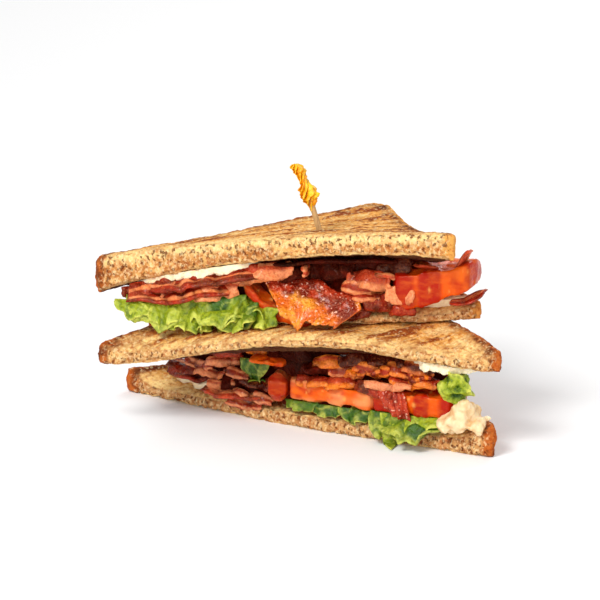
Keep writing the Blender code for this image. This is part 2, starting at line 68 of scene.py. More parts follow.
def ease(value, low=0.0, high=1.0):
    """Smooth step from 0 at low to 1 at high."""
    share = np.clip((value - low) / (high - low), 0.0, 1.0)
    return share * share * (3.0 - 2.0 * share)


def fade(value, low, high):
    """Smooth step from 1 at low to 0 at high."""
    return 1.0 - ease(value, low, high)


def mix(first, second, share):
    """Blend of two colours or numbers; share may be one number for each point."""
    share = np.asarray(share)
    if share.ndim == 1 and np.ndim(second):
        share = share[:, None]
    return first + (second - first) * share


def layered(base, *layers):
    """A base colour with further colours laid over it in turn, each by its share."""
    for colour, share in layers:
        base = mix(base, colour, share)
    return base


def lattice(cell, seed):
    """A repeatable number from 0 to 1 for every whole-number cell."""
    number = cell[..., 0] * 73856093 ^ cell[..., 1] * 19349663 ^ cell[..., 2] * 83492791
    number = (number + (seed + 1) * 2654435761) & 0xFFFFFFFF
    number = ((number ^ (number >> 15)) * 2246822519) & 0xFFFFFFFF
    number = ((number ^ (number >> 13)) * 3266489917) & 0xFFFFFFFF
    return ((number ^ (number >> 16)) & 0xFFFF) / 65535.0


def noise(points, size, seed=0):
    """Smooth noise from -1 to 1 with features about size across."""
    spots = points / size
    base = np.floor(spots).astype(np.int64)
    part = spots - base
    part = part * part * (3.0 - 2.0 * part)
    total = np.zeros(points.shape[:-1])
    for corner in itertools.product((0, 1), repeat=3):
        share = np.prod(np.where(corner, part, 1.0 - part), axis=-1)
        total += share * lattice(base + np.array(corner), seed)
    return total * 2.0 - 1.0


def rough(points, size, seed=0, octaves=3):
    """Noise of several sizes added up, still about -1 to 1."""
    layers = [noise(points, size / 2.0 ** octave, seed + 11 * octave) / 2.0 ** octave
              for octave in range(octaves)]
    return sum(layers) / 1.5


def cells(points, size, seed=0):
    """Distance to the nearest of many scattered spots, in units of size, and
    that spot's own number from 0 to 1."""
    spots = points / size
    base = np.floor(spots).astype(np.int64)
    nearest = np.full(len(points), 9.0)
    own = np.zeros(len(points))
    for offset in itertools.product((-1, 0, 1), repeat=3):
        cell = base + np.array(offset)
        place = np.stack([lattice(cell, seed + axis) for axis in range(3)], axis=1)
        away = np.linalg.norm(cell + place - spots, axis=1)
        closer = away < nearest
        nearest = np.where(closer, away, nearest)
        own = np.where(closer, lattice(cell, seed + 5), own)
    return nearest, own


def pits(points, size, seed, fill):
    """How deep in a pore each point is, from 0 to 1; fill is the pores' size."""
    away, own = cells(points, size, seed)
    radius = fill * (0.35 + 0.65 * own)
    return ease(1.0 - away / np.maximum(radius, 1e-6))


def wave(turns):
    """A wave from -1 to 1 that repeats at every whole turn."""
    return np.sin(2.0 * math.pi * turns)


def grid(lines, columns):
    """Shares 0 to 1 along and across, for the points of a grid."""
    return np.meshgrid(np.linspace(0.0, 1.0, lines), np.linspace(0.0, 1.0, columns),
                       indexing="ij")


def both(values):
    """Numbers on a sheet's grid, for the points of its two sides."""
    return np.tile(values.ravel(), 2)


def shifted(points, *moves):
    """Points moved along ways in turn, each by an amount for every point."""
    for amount, way in moves:
        points = points + amount[..., None] * way
    return points


def stretched(points, direction, along):
    """Points squeezed along a plan direction, so that noise on them is drawn
    out into streaks that run that way."""
    unit = np.array([direction[0], direction[1], 0.0])
    unit /= np.linalg.norm(unit)
    reach = points @ unit
    return points - np.outer(reach, unit) * (1.0 - 1.0 / along)


# ---- meshes
def vectors_of(mesh, name):
    flat = np.empty(len(mesh.vertices) * 3)
    mesh.vertices.foreach_get(name, flat)
    return flat.reshape(-1, 3)


def points_of(mesh):
    return vectors_of(mesh, "co") / MM


def normals_of(mesh):
    return vectors_of(mesh, "normal")


def set_points(mesh, points):
    mesh.vertices.foreach_set("co", (points * MM).ravel())
    mesh.update()


def paint(piece, colours):
    """Store one linear colour for each vertex."""
    layer = piece.data.color_attributes.new("tint", "FLOAT_COLOR", "POINT")
    values = np.ones((len(colours), 4))
    values[:, :3] = np.clip(colours, 0.0, 1.0)
    layer.data.foreach_set("color", values.ravel())


def weigh(piece, values, name):
    """Store one number for each vertex."""
    layer = piece.data.attributes.new(name, "FLOAT", "POINT")
    layer.data.foreach_set("value", np.asarray(values, dtype=np.float32))


def new_piece(name, mesh, material, slot, *nodes):
    """Link a finished mesh as a piece that stands for the given CAD nodes."""
    piece = bpy.data.objects.new(name, mesh)
    bpy.context.scene.collection.objects.link(piece)
    mesh.shade_smooth()
    mesh.materials.clear()
    mesh.materials.append(material)
    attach(piece, "root")
    if nodes:
        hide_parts(*nodes)
    return piece


def write_mesh(name, points, faces):
    mesh = bpy.data.meshes.new(name)
    mesh.from_pydata((np.asarray(points) * MM).tolist(), [], faces)
    mesh.update()
    return mesh


def mesh_of(name, shape):
    """A mesh from a finished bmesh."""
    mesh = bpy.data.meshes.new(name)
    shape.to_mesh(mesh)
    shape.free()
    return mesh


def box_of(node):
    """The low and the high corner of a CAD node."""
    return [np.array(corner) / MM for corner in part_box(node)]


def evened(mesh, voxel, rounds):
    """The mesh made again with even small faces, then smoothed by rounds."""
    helper = bpy.data.objects.new("helper", mesh)
    bpy.context.scene.collection.objects.link(helper)
    remesh = helper.modifiers.new("even", "REMESH")
    remesh.mode = "VOXEL"
    remesh.voxel_size = voxel * MM
    relax = helper.modifiers.new("relax", "SMOOTH")
    relax.factor = 0.5
    relax.iterations = rounds
    graph = bpy.context.evaluated_depsgraph_get()
    fine = bpy.data.meshes.new_from_object(helper.evaluated_get(graph))
    bpy.data.objects.remove(helper)
    return fine


def refined(node, voxel, rounds):
    """A fine, even copy of a CAD node's mesh, smoothed by rounds."""
    shape = bmesh.new()
    shape.from_mesh(NODES[node].data)
    bmesh.ops.remove_doubles(shape, verts=shape.verts, dist=0.01 * MM)
    return evened(mesh_of(node + "_fine", shape), voxel, rounds)


def tree_of(mesh, wanted=lambda normal: True):
    """A finder of the nearest spot on the faces whose normal is wanted."""
    corners = [vertex.co / MM for vertex in mesh.vertices]
    faces = [tuple(face.vertices) for face in mesh.polygons if wanted(face.normal)]
    return BVHTree.FromPolygons(corners, faces)


def distances(tree, points):
    return np.array([tree.find_nearest(Vector(point))[3] for point in points])


def struck(tree, spot, centre, pulls, down):
    """Where faces are met on the way down or up at a plan point, which is pulled
    towards the centre by ever larger shares until they are; None if never."""
    start, way = (FAR, -1.0) if down else (-FAR, 1.0)
    for pull in pulls:
        x, y = spot + (centre - spot) * pull
        hit = tree.ray_cast(Vector((x, y, start)), Vector((0.0, 0.0, way)))[0]
        if hit is not None:
            return x, y, hit.z
    return None


# ---- materials
class Look:
    """A material whose colour is the painted tint, worked over with fine noise."""

    def __init__(self, name, roughness, sockets=()):
        """sockets are further ones of the shader, each with its value."""
        self.material = bpy.data.materials.new(name)
        self.material.use_nodes = True
        self.tree = self.material.node_tree
        self.shader = self.tree.nodes["Principled BSDF"]
        self.fill(self.shader, (("Roughness", roughness), *sockets))
        self.place = self.node("TexCoord", "Object")
        self.colour = self.node("Attribute", "Color", attribute_name="tint")
        self.height = None

    def fill(self, node, sockets):
        """Set sockets to a value, or to what another node gives."""
        for name, value in sockets:
            if isinstance(value, bpy.types.NodeSocket):
                self.tree.links.new(value, node.inputs[name])
            else:
                node.inputs[name].default_value = value

    def node(self, kind, output, sockets=(), **settings):
        """What a new node gives."""
        made = self.tree.nodes.new("ShaderNode" + kind)
        for name, value in settings.items():
            setattr(made, name, value)
        self.fill(made, sockets)
        return made.outputs[output]

    def grain(self, size, detail=3.0, stretch=(1.0, 1.0, 1.0)):
        """A noise of the given size in millimetres, from 0 to 1."""
        scale = [1.0 / value for value in stretch]
        place = self.node("Mapping", "Vector", (("Vector", self.place), ("Scale", scale)))
        return self.node("TexNoise", "Fac", (("Vector", place), ("Detail", detail),
                                             ("Scale", 1.0 / (size * MM))))

    def graded(self, value, low, high, start=0.0, end=1.0):
        """Move value from the range low to high into start to end."""
        return self.node("MapRange", "Result", (
            ("Value", value), ("From Min", low), ("From Max", high),
            ("To Min", start), ("To Max", end)))

    def weight(self, name):
        return self.node("Attribute", "Fac", attribute_name=name)

    def times(self, first, second):
        return self.node("Math", "Value", ((0, first), (1, second)), operation="MULTIPLY")

    def blend_in(self, colour, share, mode="MIX"):
        """Lay a colour over the tint where share says."""
        sockets = (("Factor", share), ("A", self.colour), ("B", (*colour, 1.0)))
        self.colour = self.node("Mix", "Result", sockets, data_type="RGBA", blend_type=mode)

    def speckle(self, colour, size, low, high, most, mode="MIX", detail=4.0,
                stretch=(1.0, 1.0, 1.0)):
        """Lay a colour over the tint in specks, by a share of at most most."""
        grain = self.grain(size, detail, stretch)
        self.blend_in(colour, self.graded(grain, low, high, 0.0, most), mode)

    def bump(self, value, depth):
        """Add relief of that many millimetres."""
        before = () if self.height is None else (("Normal", self.height),)
        self.height = self.node("Bump", "Normal", (
            ("Height", value), ("Distance", depth * MM), ("Strength", 1.0), *before))

    def flesh(self, weight, reach):
        """Let light through the surface; reach is in millimetres for red, green, blue."""
        self.fill(self.shader, (("Subsurface Weight", weight), ("Subsurface Scale", 1.0),
                                ("Subsurface Radius", [value * MM for value in reach])))

    def done(self):
        self.fill(self.shader, (("Base Color", self.colour),))
        if self.height is not None:
            self.fill(self.shader, (("Normal", self.height),))
        return self.material


def bread_material():
    look = Look("toast_look", 0.85, (("Specular IOR Level", 0.15),))
    crumb = look.weight("crumb")
    holes = look.graded(look.grain(1.5, 3.0, (1.0, 1.0, 1.3)), 0.43, 0.35)
    walls = look.graded(look.grain(1.2, 2.0, (1.0, 1.0, 1.4)), 0.52, 0.64)
    look.blend_in(linear(255, 226, 172), look.times(look.graded(walls, 0.0, 1.0, 0.0, 0.50), crumb))
    look.blend_in(linear(124, 56, 14), look.times(look.graded(holes, 0.0, 1.0, 0.0, 0.85), crumb))
    look.speckle(linear(206, 128, 62), 1.4, 0.50, 0.66, 0.60, "MULTIPLY")
    glints = look.graded(look.grain(1.3), 0.46, 0.34, 0.0, 0.42)
    look.blend_in(linear(255, 230, 174), look.times(glints, look.weight("pale")))
    look.bump(look.grain(1.2, 5.0), 0.9)
    look.bump(look.times(holes, crumb), -0.5)
    return look.done()


def bacon_material(name, shine, dry, glow=0.22, relief=1.6, sparkle=0.0):
    """Fried meat and fat; shine is its wet gloss, dry the roughness of its dullest
    spots, glow how far lighter specks stand out, relief the size of its bumps,
    sparkle how bright its painted highlights are: pale specks laid over its colour."""
    look = Look(name, dry, (("Specular IOR Level", 0.5 * shine), ("Coat Weight", 0.16 * shine),
                            ("Specular Tint", (*linear(255, 196, 150), 1.0)),
                            ("Coat Roughness", 0.08)))
    look.flesh(0.08, (2.0, 0.5, 0.2))
    look.speckle(linear(188, 84, 50), 1.0, 0.46, 0.62, 0.40, "MULTIPLY")
    look.speckle(linear(255, 140, 70), 0.8, 0.46, 0.30, glow, "SCREEN", 3.0)
    # painted highlights: pale specks, as strong as sparkle
    look.speckle(linear(255, 196, 168), 1.1, 0.64, 0.70, sparkle, detail=1.0)
    wetness = look.graded(look.grain(1.6), 0.35, 0.65, 0.5 * dry, dry)
    look.fill(look.shader, (("Roughness", wetness),))
    look.bump(look.grain(relief, 4.0), 0.7)
    look.bump(look.grain(0.6, 2.0), 0.25)
    return look.done()


def tomato_material():
    look = Look("tomato_look", 0.28, (("Specular IOR Level", 0.30), ("Coat Weight", 0.08),
                                      ("Specular Tint", (*linear(255, 206, 160), 1.0)),
                                      ("Coat Roughness", 0.06)))
    look.flesh(0.08, (3.0, 0.6, 0.15))
    look.speckle(linear(255, 132, 36), 1.8, 0.45, 0.68, 0.20, detail=3.0, stretch=(2.5, 2.5, 1.0))
    look.bump(look.grain(1.6, 4.0), 0.35)
    return look.done()


def lettuce_material():
    look = Look("lettuce_look", 0.38, (("Specular IOR Level", 0.35),))
    look.flesh(0.12, (0.8, 1.0, 0.2))
    look.speckle(linear(120, 150, 50), 1.5, 0.46, 0.62, 0.55, "MULTIPLY")
    look.bump(look.grain(1.5, 4.0), 0.9)
    return look.done()


def mayo_material():
    look = Look("mayonnaise_look", 0.30, (("Specular IOR Level", 0.45),))
    look.flesh(0.30, (2.0, 1.5, 0.9))
    look.speckle(linear(222, 166, 100), 2.4, 0.50, 0.75, 0.35)
    look.bump(look.grain(1.6), 0.4)
    return look.done()


def wood_material():
    look = Look("pick_look", 0.6)
    look.speckle(linear(150, 104, 60), 0.6, 0.35, 0.70, 0.6, stretch=(1.0, 1.0, 14.0))
    look.bump(look.grain(0.5, 2.0, (1.0, 1.0, 14.0)), 0.1)
    return look.done()


def paper_material():
    look = Look("frill_look", 0.45)
    look.flesh(0.25, (1.0, 0.8, 0.2))
    look.speckle(linear(235, 130, 0), 1.2, 0.40, 0.70, 0.35, detail=3.0, stretch=(1.0, 1.0, 4.0))
    look.bump(look.grain(0.9, 2.0, (1.0, 1.0, 5.0)), 0.25)
    return look.done()


# ---- bread
BREAD_VOXEL = 0.66
LEVEL = 0.72                      # least upright share of a level face's normal
CRUMB = linear(196, 128, 66)
CRUMB_PALE = linear(228, 174, 102)
CRUMB_PORE = linear(150, 78, 26)
CREAM = linear(250, 214, 142)
GOLD = linear(234, 168, 84)
STREAK = linear(154, 70, 20)
CHAR = linear(88, 36, 12)
CRUST = linear(188, 96, 32)
CRUST_DARK = linear(104, 42, 12)
CRUST_GOLD = linear(240, 172, 82)
CRUST_BAND = (3.4, 5.4)           # the crust's depth from the outside, in to the crumb
GREY_CRUMB = linear(186, 132, 88)
UNDERSIDE_SHADE = linear(62, 20, 8)        # painted shade on the undersides of the slices, near the cut
UNDERSIDE_SHADE_BAND = (16.0, 34.0)        # how far back from the cut the painted shade goes
UPRIGHT_PORES = np.array([1.0, 1.0, 0.7])
UPRIGHT_MARKS = np.array([1.0, 1.0, 0.35])   # draws the crust's marks out upward


def side_direction(mesh, wanted):
    """Mean outward plan direction of the faces whose normal is wanted."""
    total = sum((face.normal * face.area for face in mesh.polygons if wanted(face.normal)),
                Vector((0.0, 0.0, 0.0)))
    total.z = 0.0
    return np.array(total.normalized())


def is_cut(normal):
    return abs(normal.z) < LEVEL and normal.y < -0.5


def is_crust(normal):
    return abs(normal.z) < LEVEL and normal.y >= -0.5


def is_back_crust(normal):
    return abs(normal.z) < 0.4 and normal.y > 0.7


def make_bread(node, seed, material, toasting, dryness, golden):
    """A slice of toast: open crumb on the knife cut, streaks where it toasted.

    golden is how pale the crust of its right end is."""
    cad = NODES[node].data
    mesh = refined(node, BREAD_VOXEL, 8)
    points = points_of(mesh)
    normals = normals_of(mesh)
    to_cut = distances(tree_of(cad, is_cut), points)
    to_crust = distances(tree_of(cad, is_crust), points)
    to_top = distances(tree_of(cad, lambda normal: normal.z >= LEVEL), points)
    to_under = distances(tree_of(cad, lambda normal: normal.z <= -LEVEL), points)
    to_face = np.minimum(to_top, to_under)
    on_cut = ease(to_face - to_cut, -0.3, 0.7) * ease(to_crust - to_cut, -0.4, 0.8)
    on_crust = ease(to_face - to_crust, -1.2, 0.6) * (1.0 - on_cut)
    on_face = np.clip(1.0 - on_cut - on_crust, 0.0, 1.0)

    cut_way = side_direction(cad, is_cut)
    back_way = side_direction(cad, is_back_crust)
    along_cut = np.array([-cut_way[1], cut_way[0]])
    along_back = np.array([-back_way[1], back_way[0]])
    flat = stretched(points, along_cut, 1.6)

    thick = ease(rough(points, 12.0, seed + 3), -0.6, 0.3)
    large = pits(flat, 3.2, seed, 0.62) * thick
    small = pits(points * UPRIGHT_PORES, 2.1, seed + 20, 0.66)
    tears = ease(rough(stretched(points, along_cut, 4.0), 2.4, seed + 30), 0.28, 0.55)
    open_crumb = np.clip(large + 0.75 * small + 0.5 * tears, 0.0, 1.4)
    edge = fade(to_cut, 0.4, 2.4) * fade(to_face, 0.4, 2.4)
    chips = edge * ease(rough(points, 2.8, seed + 75), -0.15, 0.5)
    dimples = pits(points, 1.9, seed + 40, 0.62)
    fibre = rough(stretched(points, along_back, 12.0), 3.0, seed + 50)
    swell = rough(points, 8.0, seed + 60)
    grit = rough(points, 1.8, seed + 65)

    inward = on_cut * (0.85 * open_crumb * ease(to_crust, 0.8, 2.6)
                       - 0.65 * rough(points, 2.6, seed + 70) - 0.25)
    inward += on_face * (0.50 * dimples - 0.55 * fibre - 0.40 * swell - 0.40 * grit)
    inward += on_crust * (0.55 * rough(points, 2.4, seed + 80) + 0.35 * swell)
    inward += 0.9 * chips
    moved = points - normals * inward[:, None]
    if node == "bread_bottom":
        moved[:, 2] = np.maximum(moved[:, 2], 0.02)
    set_points(mesh, moved)

    rightward = (points[:, 0] - points[:, 0].min()) / np.ptp(points[:, 0])
    marks = rough(points * UPRIGHT_MARKS, 1.8, seed + 110)
    crust = layered(CRUST, (CRUST_DARK, ease(marks, -0.1, 0.5)),
                    (CRUST_GOLD, golden * ease(rightward, 0.5, 0.8)))
    crust_near = fade(to_crust + 0.9 * rough(points, 2.4, seed + 100), *CRUST_BAND)
    soft = (1.0 - dryness) * fade(to_top + 0.8 * noise(points, 6.0, seed + 95), 2.0, 5.5)
    holes = np.clip(0.8 * open_crumb * (1.0 - 0.55 * soft), 0.0, 0.85)
    crumb = layered(CRUMB, (CRUMB_PALE, ease(rough(points, 2.4, seed + 90), -0.4, 0.5)),
                    (GREY_CRUMB, 1.1 * max(0.0, dryness - 0.5)), (CREAM, soft),
                    (CRUMB_PORE, holes * ease(to_face, 0.1, 0.9)),
                    (STREAK, 0.7 * fade(to_face + 0.4 * grit, 0.2, 0.9)),
                    (crust, 0.95 * crust_near))

    inner = ease(to_cut, 1.0, 7.0)
    ridge = fibre + 0.20 * swell + 0.30 * grit + toasting
    streaks = ease(ridge, 0.04, 0.30) * (0.45 + 0.55 * inner)
    edge_toast = fade(to_crust + 2.0 * rough(points, 5.0, seed + 120), 1.0, 8.0)
    inside = ease(to_top - to_under, -1.0, 1.0) * (node != "bread_bottom")
    # painted shade on the undersides of the slices over the bottom one, near the cut, where the filling
    # shades them
    underside_shade = inside * ease(to_cut, 1.4, 3.0) * fade(to_cut, *UNDERSIDE_SHADE_BAND)
    toast = layered(CREAM, (GOLD, 0.3 + 0.7 * inner), (STREAK, 0.95 * streaks),
                    (CREAM, 0.8 * ease(-ridge, 0.05, 0.40)), (STREAK, 0.7 * edge_toast),
                    (CHAR, 0.85 * ease(edge_toast * 0.9 + 0.6 * streaks + 0.4 * grit, 0.55, 1.2)),
                    (CRUMB_PORE, 0.75 * dimples * ease(grit, -0.5, 0.3)),
                    (crust, fade(to_crust, 1.0, 3.0)), (UNDERSIDE_SHADE, 0.92 * underside_shade))

    piece = new_piece(node + "_toast", mesh, material, "toast", node)
    paint(piece, on_cut[:, None] * crumb + on_crust[:, None] * crust + on_face[:, None] * toast)
    weigh(piece, on_cut * ease(to_crust, 1.6, 3.0), "crumb")
    dark = np.maximum(on_crust, np.maximum(on_cut * crust_near, on_face * underside_shade))
    weigh(piece, 1.0 - dark, "pale")


def make_all_bread():
    material = bread_material()
    for index, (node, toasting, dryness, golden) in enumerate((
            ("bread_bottom", 0.05, 0.9, 0.0), ("bread_lower_lid", 0.10, 0.7, 0.0),
            ("bread_upper_base", 0.10, 0.9, 0.4), ("bread_top", 0.0, 0.15, 0.8))):
        make_bread(node, 200 * index + 7, material, toasting, dryness, golden)


# ---- sheets: rashers and leaves
SPAN_STEPS = 24                   # places at which a node's outline is sounded
ROOM_PULLS = (0.0, 0.08, 0.16, 0.28, 0.42, 0.6)
FLOOR_CLEAR = 0.3                 # least height of a sheet over the floor


class Room:
    """The space that a CAD node takes up, and its long and short way in plan."""

    def __init__(self, node):
        mesh = NODES[node].data
        self.tree = tree_of(mesh)
        points = points_of(mesh)
        plan = points[:, :2]
        self.middle = (plan.max(0) + plan.min(0)) / 2.0
        _, _, axes = np.linalg.svd(plan - plan.mean(0), full_matrices=False)
        self.long = axes[0] * (1.0 if axes[0][0] >= 0.0 else -1.0)
        self.short = np.array([-self.long[1], self.long[0]])
        reach = (plan - self.middle) @ np.stack([self.long, self.short], axis=1)
        self.low, self.high = reach.min(0), reach.max(0)
        self.size = self.high - self.low
        self.depths = points[:, 2].min(), points[:, 2].max()
        self.spans = [self.span(share) for share in np.linspace(0.0, 1.0, SPAN_STEPS)]

    def span(self, along):
        """Where the outline starts and ends across the node, at a share of its length."""
        reach = self.low[0] + self.size[0] * (0.02 + 0.96 * along)
        found = []
        for across in np.linspace(self.low[1], self.high[1], SPAN_STEPS * 2):
            spot = self.middle + reach * self.long + across * self.short
            if struck(self.tree, spot, spot, (0.0,), True) is not None:
                found.append(across)
        return np.array([found[0], found[-1]]) if found else np.zeros(2)

    def plan_point(self, along, across):
        """Plan point at shares 0 to 1 of the length and of the width there."""
        place = along * (SPAN_STEPS - 1)
        before = min(int(place), SPAN_STEPS - 2)
        edges = mix(self.spans[before], self.spans[before + 1], place - before)
        reach = self.low[0] + self.size[0] * along
        return self.middle + reach * self.long + mix(*edges, across) * self.short

    def heights(self, spot):
        """Floor and roof under and over a plan point, moved inward till it hits."""
        ends = [struck(self.tree, spot, self.middle, ROOM_PULLS, down) for down in (False, True)]
        return self.depths if None in ends else [end[2] for end in ends]

    def sounded(self, along, across):
        """Plan points at a grid of shares, and the node's floor and roof there."""
        plan = np.zeros((*along.shape, 3))
        ends = np.zeros((*along.shape, 2))
        for place in np.ndindex(along.shape):
            plan[place][:2] = self.plan_point(along[place], across[place])
            ends[place] = self.heights(plan[place][:2])
        return plan, ends[..., 0], ends[..., 1]


def sheet_mesh(name, middle, thickness):
    """A closed thin body over the floor from a grid of middle points; thickness at
    each point."""
    lines, columns = middle.shape[:2]
    middle = middle.copy()
    middle[..., 2] = np.maximum(middle[..., 2], thickness / 2.0 + FLOOR_CLEAR)
    along = np.gradient(middle, axis=0)
    across = np.gradient(middle, axis=1)
    normal = np.cross(along, across)
    normal /= np.maximum(np.linalg.norm(normal, axis=2, keepdims=True), 1e-9)
    half = thickness[..., None] / 2.0
    upper = (middle + normal * half).reshape(-1, 3)
    lower = (middle - normal * half).reshape(-1, 3)
    count = lines * columns
    faces = []
    for line in range(lines - 1):
        for column in range(columns - 1):
            a = line * columns + column
            faces.append((a, a + 1, a + columns + 1, a + columns))
            faces.append((count + a, count + a + columns, count + a + columns + 1, count + a + 1))
    rim = list(range(columns))
    rim += [line * columns + columns - 1 for line in range(1, lines)]
    rim += [(lines - 1) * columns + column for column in range(columns - 2, -1, -1)]
    rim += [line * columns for line in range(lines - 2, 0, -1)]
    for index, here in enumerate(rim):
        there = rim[(index + 1) % len(rim)]
        faces.append((there, here, count + here, count + there))
    mesh = write_mesh(name, np.concatenate([upper, lower]), faces)
    shape = bmesh.new()
    shape.from_mesh(mesh)
    bpy.data.meshes.remove(mesh)
    bmesh.ops.recalc_face_normals(shape, faces=shape.faces)
    if shape.calc_volume(signed=True) < 0.0:
        bmesh.ops.reverse_faces(shape, faces=shape.faces)
    return mesh_of(name, shape)


def rounded_rim(shares_along, shares_across, length, width, rim):
    """1 inside a sheet, falling like a round edge within rim of its border."""
    edge_along = np.minimum(shares_along, 1.0 - shares_along) * length
    edge_across = np.minimum(shares_across, 1.0 - shares_across) * width
    near = np.clip(np.minimum(edge_along, edge_across) / rim, 0.0, 1.0)
    return np.sqrt(np.clip(1.0 - (1.0 - near) ** 2, 0.04, 1.0))


def grid_shares(length, width, spacing):
    """The grid of shares that gives a sheet even steps of spacing."""
    return grid(max(6, int(length / spacing) + 1), max(6, int(width / spacing) + 1))


def tapered(along, power):
    """1 in the middle of a sheet's length, down to about a half at its ends."""
    return 0.5 + 0.5 * np.sin(math.pi * np.clip(along, 0.02, 0.98)) ** power


# ---- bacon
RASHER_STEP = 0.5                 # the grid that rashers and ribbons are made on
FAT_PALE = linear(236, 150, 102)
FAT_AMBER = linear(236, 122, 22)
MEAT_PINK = linear(200, 72, 38)
MEAT_RED = linear(152, 30, 10)
MEAT_DARK = linear(72, 12, 5)
BURNT = linear(22, 4, 2)
FIBRE_STRETCH = 3.0               # how far the meat's marks are drawn out along a rasher
CREST_LIGHT = 1.35                # painted highlight: how much paler the ridges of a rasher are


def bacon_tint(across, points, way, bands, tone, amber, seed, crest):
    """Streaky bacon: fat bands that wander along the rasher through the meat.

    way is the rasher's plan direction. crest is from -1 in a fold's valley to 1 on
    its ridge; valleys get painted shade and ridges a painted highlight."""
    drawn = stretched(points, way, FIBRE_STRETCH)
    place = across + 0.09 * rough(drawn, 7.0, seed)
    fat = np.zeros(len(points))
    for centre, half in bands:
        ragged = 0.05 * rough(drawn, 2.0, seed + 5)
        fat = np.maximum(fat, fade(np.abs(place - centre) + ragged, half * 0.55, half * 1.25))
    meat = layered(MEAT_PINK, (MEAT_RED, ease(tone + 0.40 * rough(drawn, 2.6, seed + 8), 0.0, 0.45)),
                   (MEAT_DARK, ease(tone + 0.35 * rough(drawn, 3.4, seed + 9), 0.45, 0.95)),
                   (BURNT, ease(tone + 0.15 * rough(drawn, 4.0, seed + 10), 0.92, 1.20)))
    yellow = np.clip(amber + 0.4 * rough(drawn, 3.0, seed + 12), 0.0, 1.0)
    soft = layered(FAT_PALE, (FAT_AMBER, yellow), (MEAT_RED, ease(tone, 0.5, 1.2) * 0.75))
    # the folds' valleys get painted shade here, and their ridges a painted highlight below
    tint = layered(meat, (soft, 0.92 * fat), (MEAT_DARK, 0.55 * ease(-crest, 0.0, 1.1)))
    return mix(tint, tint * CREST_LIGHT, ease(crest, 0.2, 1.2))


def make_rasher(node, materials, seed, waves, thickness=1.7, bands=((0.25, 0.1), (0.7, 0.12)),
                tone=0.4, amber=0.4, slot="bacon", tilt=0.0, ragged=0.8, back=0.0, flick=0.0):
    """A fried rasher that waves up and down between its node's floor and roof."""
    room = Room(node)
    along, across = grid_shares(*room.size, RASHER_STEP)
    inset = 0.5 + (across - 0.5) * tapered(along, 0.5)
    plan, floor, roof = room.sounded(along, inset)
    lean = 0.16 * noise(plan, 16.0, seed) + 0.10 * (across - 0.5)
    crest = wave(waves * along + lean * waves + 0.22 * noise(plan, 7.0, seed + 6))
    edge = 0.65 + 0.35 * np.abs(2.0 * across - 1.0)
    wrinkle = 0.22 * rough(plan, 3.6, seed + 1)
    height = np.clip(0.5 + 0.5 * (crest * edge + wrinkle), -0.15, 1.15)
    middle = plan.copy()
    clear = np.maximum(roof - floor - thickness, 0.0)
    middle[..., 2] = floor + thickness / 2.0 + clear * height
    middle[..., 2] += tilt * (across - 0.5) + flick * ease(along, 0.72, 1.0)
    middle[..., 1] += back
    fray = ragged * rough(plan, 4.2, seed + 2) * (2.0 * across - 1.0) ** 3
    end_fray = 1.6 * ragged * rough(plan, 3.4, seed + 3) * (2.0 * along - 1.0) ** 9
    middle[..., :2] = shifted(middle[..., :2], (fray, room.short), (end_fray, room.long))
    rim = rounded_rim(along, across, *room.size, 0.9)
    uneven = 1.0 + 0.18 * noise(plan, 3.0, seed + 4)
    mesh = sheet_mesh(node + "_rasher", middle, thickness * rim * uneven)
    piece = new_piece(node + "_rasher", mesh, materials[slot], slot, node)
    paint(piece, bacon_tint(both(across), points_of(mesh), room.long, bands, tone, amber, seed,
                            both(2.0 * height - 1.0)))


# Each rasher: waves along it, fat bands across it (middle and half width, as
# shares), tone from 0, pale and pink, to 1, dark and crisp; then how amber its fat
# is, and millimetres of tilt across it, shift back and upward flick of its end
RASHERS = (
    ("bacon_upper_left_low", dict(waves=6.0, tone=0.50, amber=0.35, tilt=6.0,
                                  bands=((0.20, 0.08), (0.6, 0.1)))),
    ("bacon_upper_left_high", dict(waves=4.6, tone=0.62, amber=0.35, tilt=4.0,
                                   bands=((0.35, 0.1), (0.8, 0.1)))),
    ("bacon_upper_back_left", dict(waves=3.6, tone=0.5)),
    ("bacon_upper_dark", dict(waves=4.0, tone=1.05, bands=(), slot="crisp_bacon", back=3.0)),
    ("bacon_upper_chunk", dict(waves=1.8, tone=0.34, bands=((0.1, 0.1),), thickness=2.0)),
    ("bacon_upper_fold", dict(waves=1.0, tone=0.6, bands=((0.85, 0.15),), thickness=2.2)),
    ("bacon_upper_back_mid", dict(waves=3.8, tone=0.6, back=6.0)),
    ("bacon_upper_back_right", dict(waves=3.6, tone=0.55, back=7.0)),
    ("bacon_upper_tip_high", dict(waves=1.2, tone=0.10, amber=0.1, bands=((0.85, 0.2),),
                                  thickness=1.4, flick=7.5)),
    ("bacon_upper_tip_low", dict(waves=2.2, tone=0.50, bands=((0.6, 0.2),), thickness=1.1)),
    ("bacon_lower_left", dict(waves=2.2, tone=0.6, bands=((0.7, 0.12),))),
    ("bacon_lower_ragged", dict(waves=2.6, tone=0.2, amber=0.1, bands=((0.5, 0.25),), ragged=1.4)),
    ("bacon_lower_dark", dict(waves=3.0, tone=0.98, bands=(), slot="crisp_bacon")),
    ("bacon_lower_back_left", dict(waves=3.0, tone=0.5)),
    ("bacon_lower_bit", dict(waves=1.4, tone=0.35, bands=((0.3, 0.3),), amber=0.9)),
    ("bacon_lower_crisp_left", dict(waves=5.5, tone=0.62, amber=0.9, ragged=1.3)),
    ("bacon_lower_crisp_right", dict(waves=4.5, tone=0.66, amber=0.9, ragged=1.3)),
    ("bacon_lower_back", dict(waves=1.8, tone=0.5)),
)


UPPER_SLOPE = 0.224               # how far each front comes forward for each step
LOWER_SLOPE = 0.587               # to the right


def upper_front(x):
    """Where the upper filling's front face runs, as y at x."""
    return -19.1 - UPPER_SLOPE * x


def lower_front(x):
    """Where the lower filling's front face runs, as y at x."""
    share = np.clip((x + 62.5) / 138.0, 0.0, 1.0)
    return 26.8 - LOWER_SLOPE * (x + 62.5) - 5.0 * np.sin(math.pi * share)


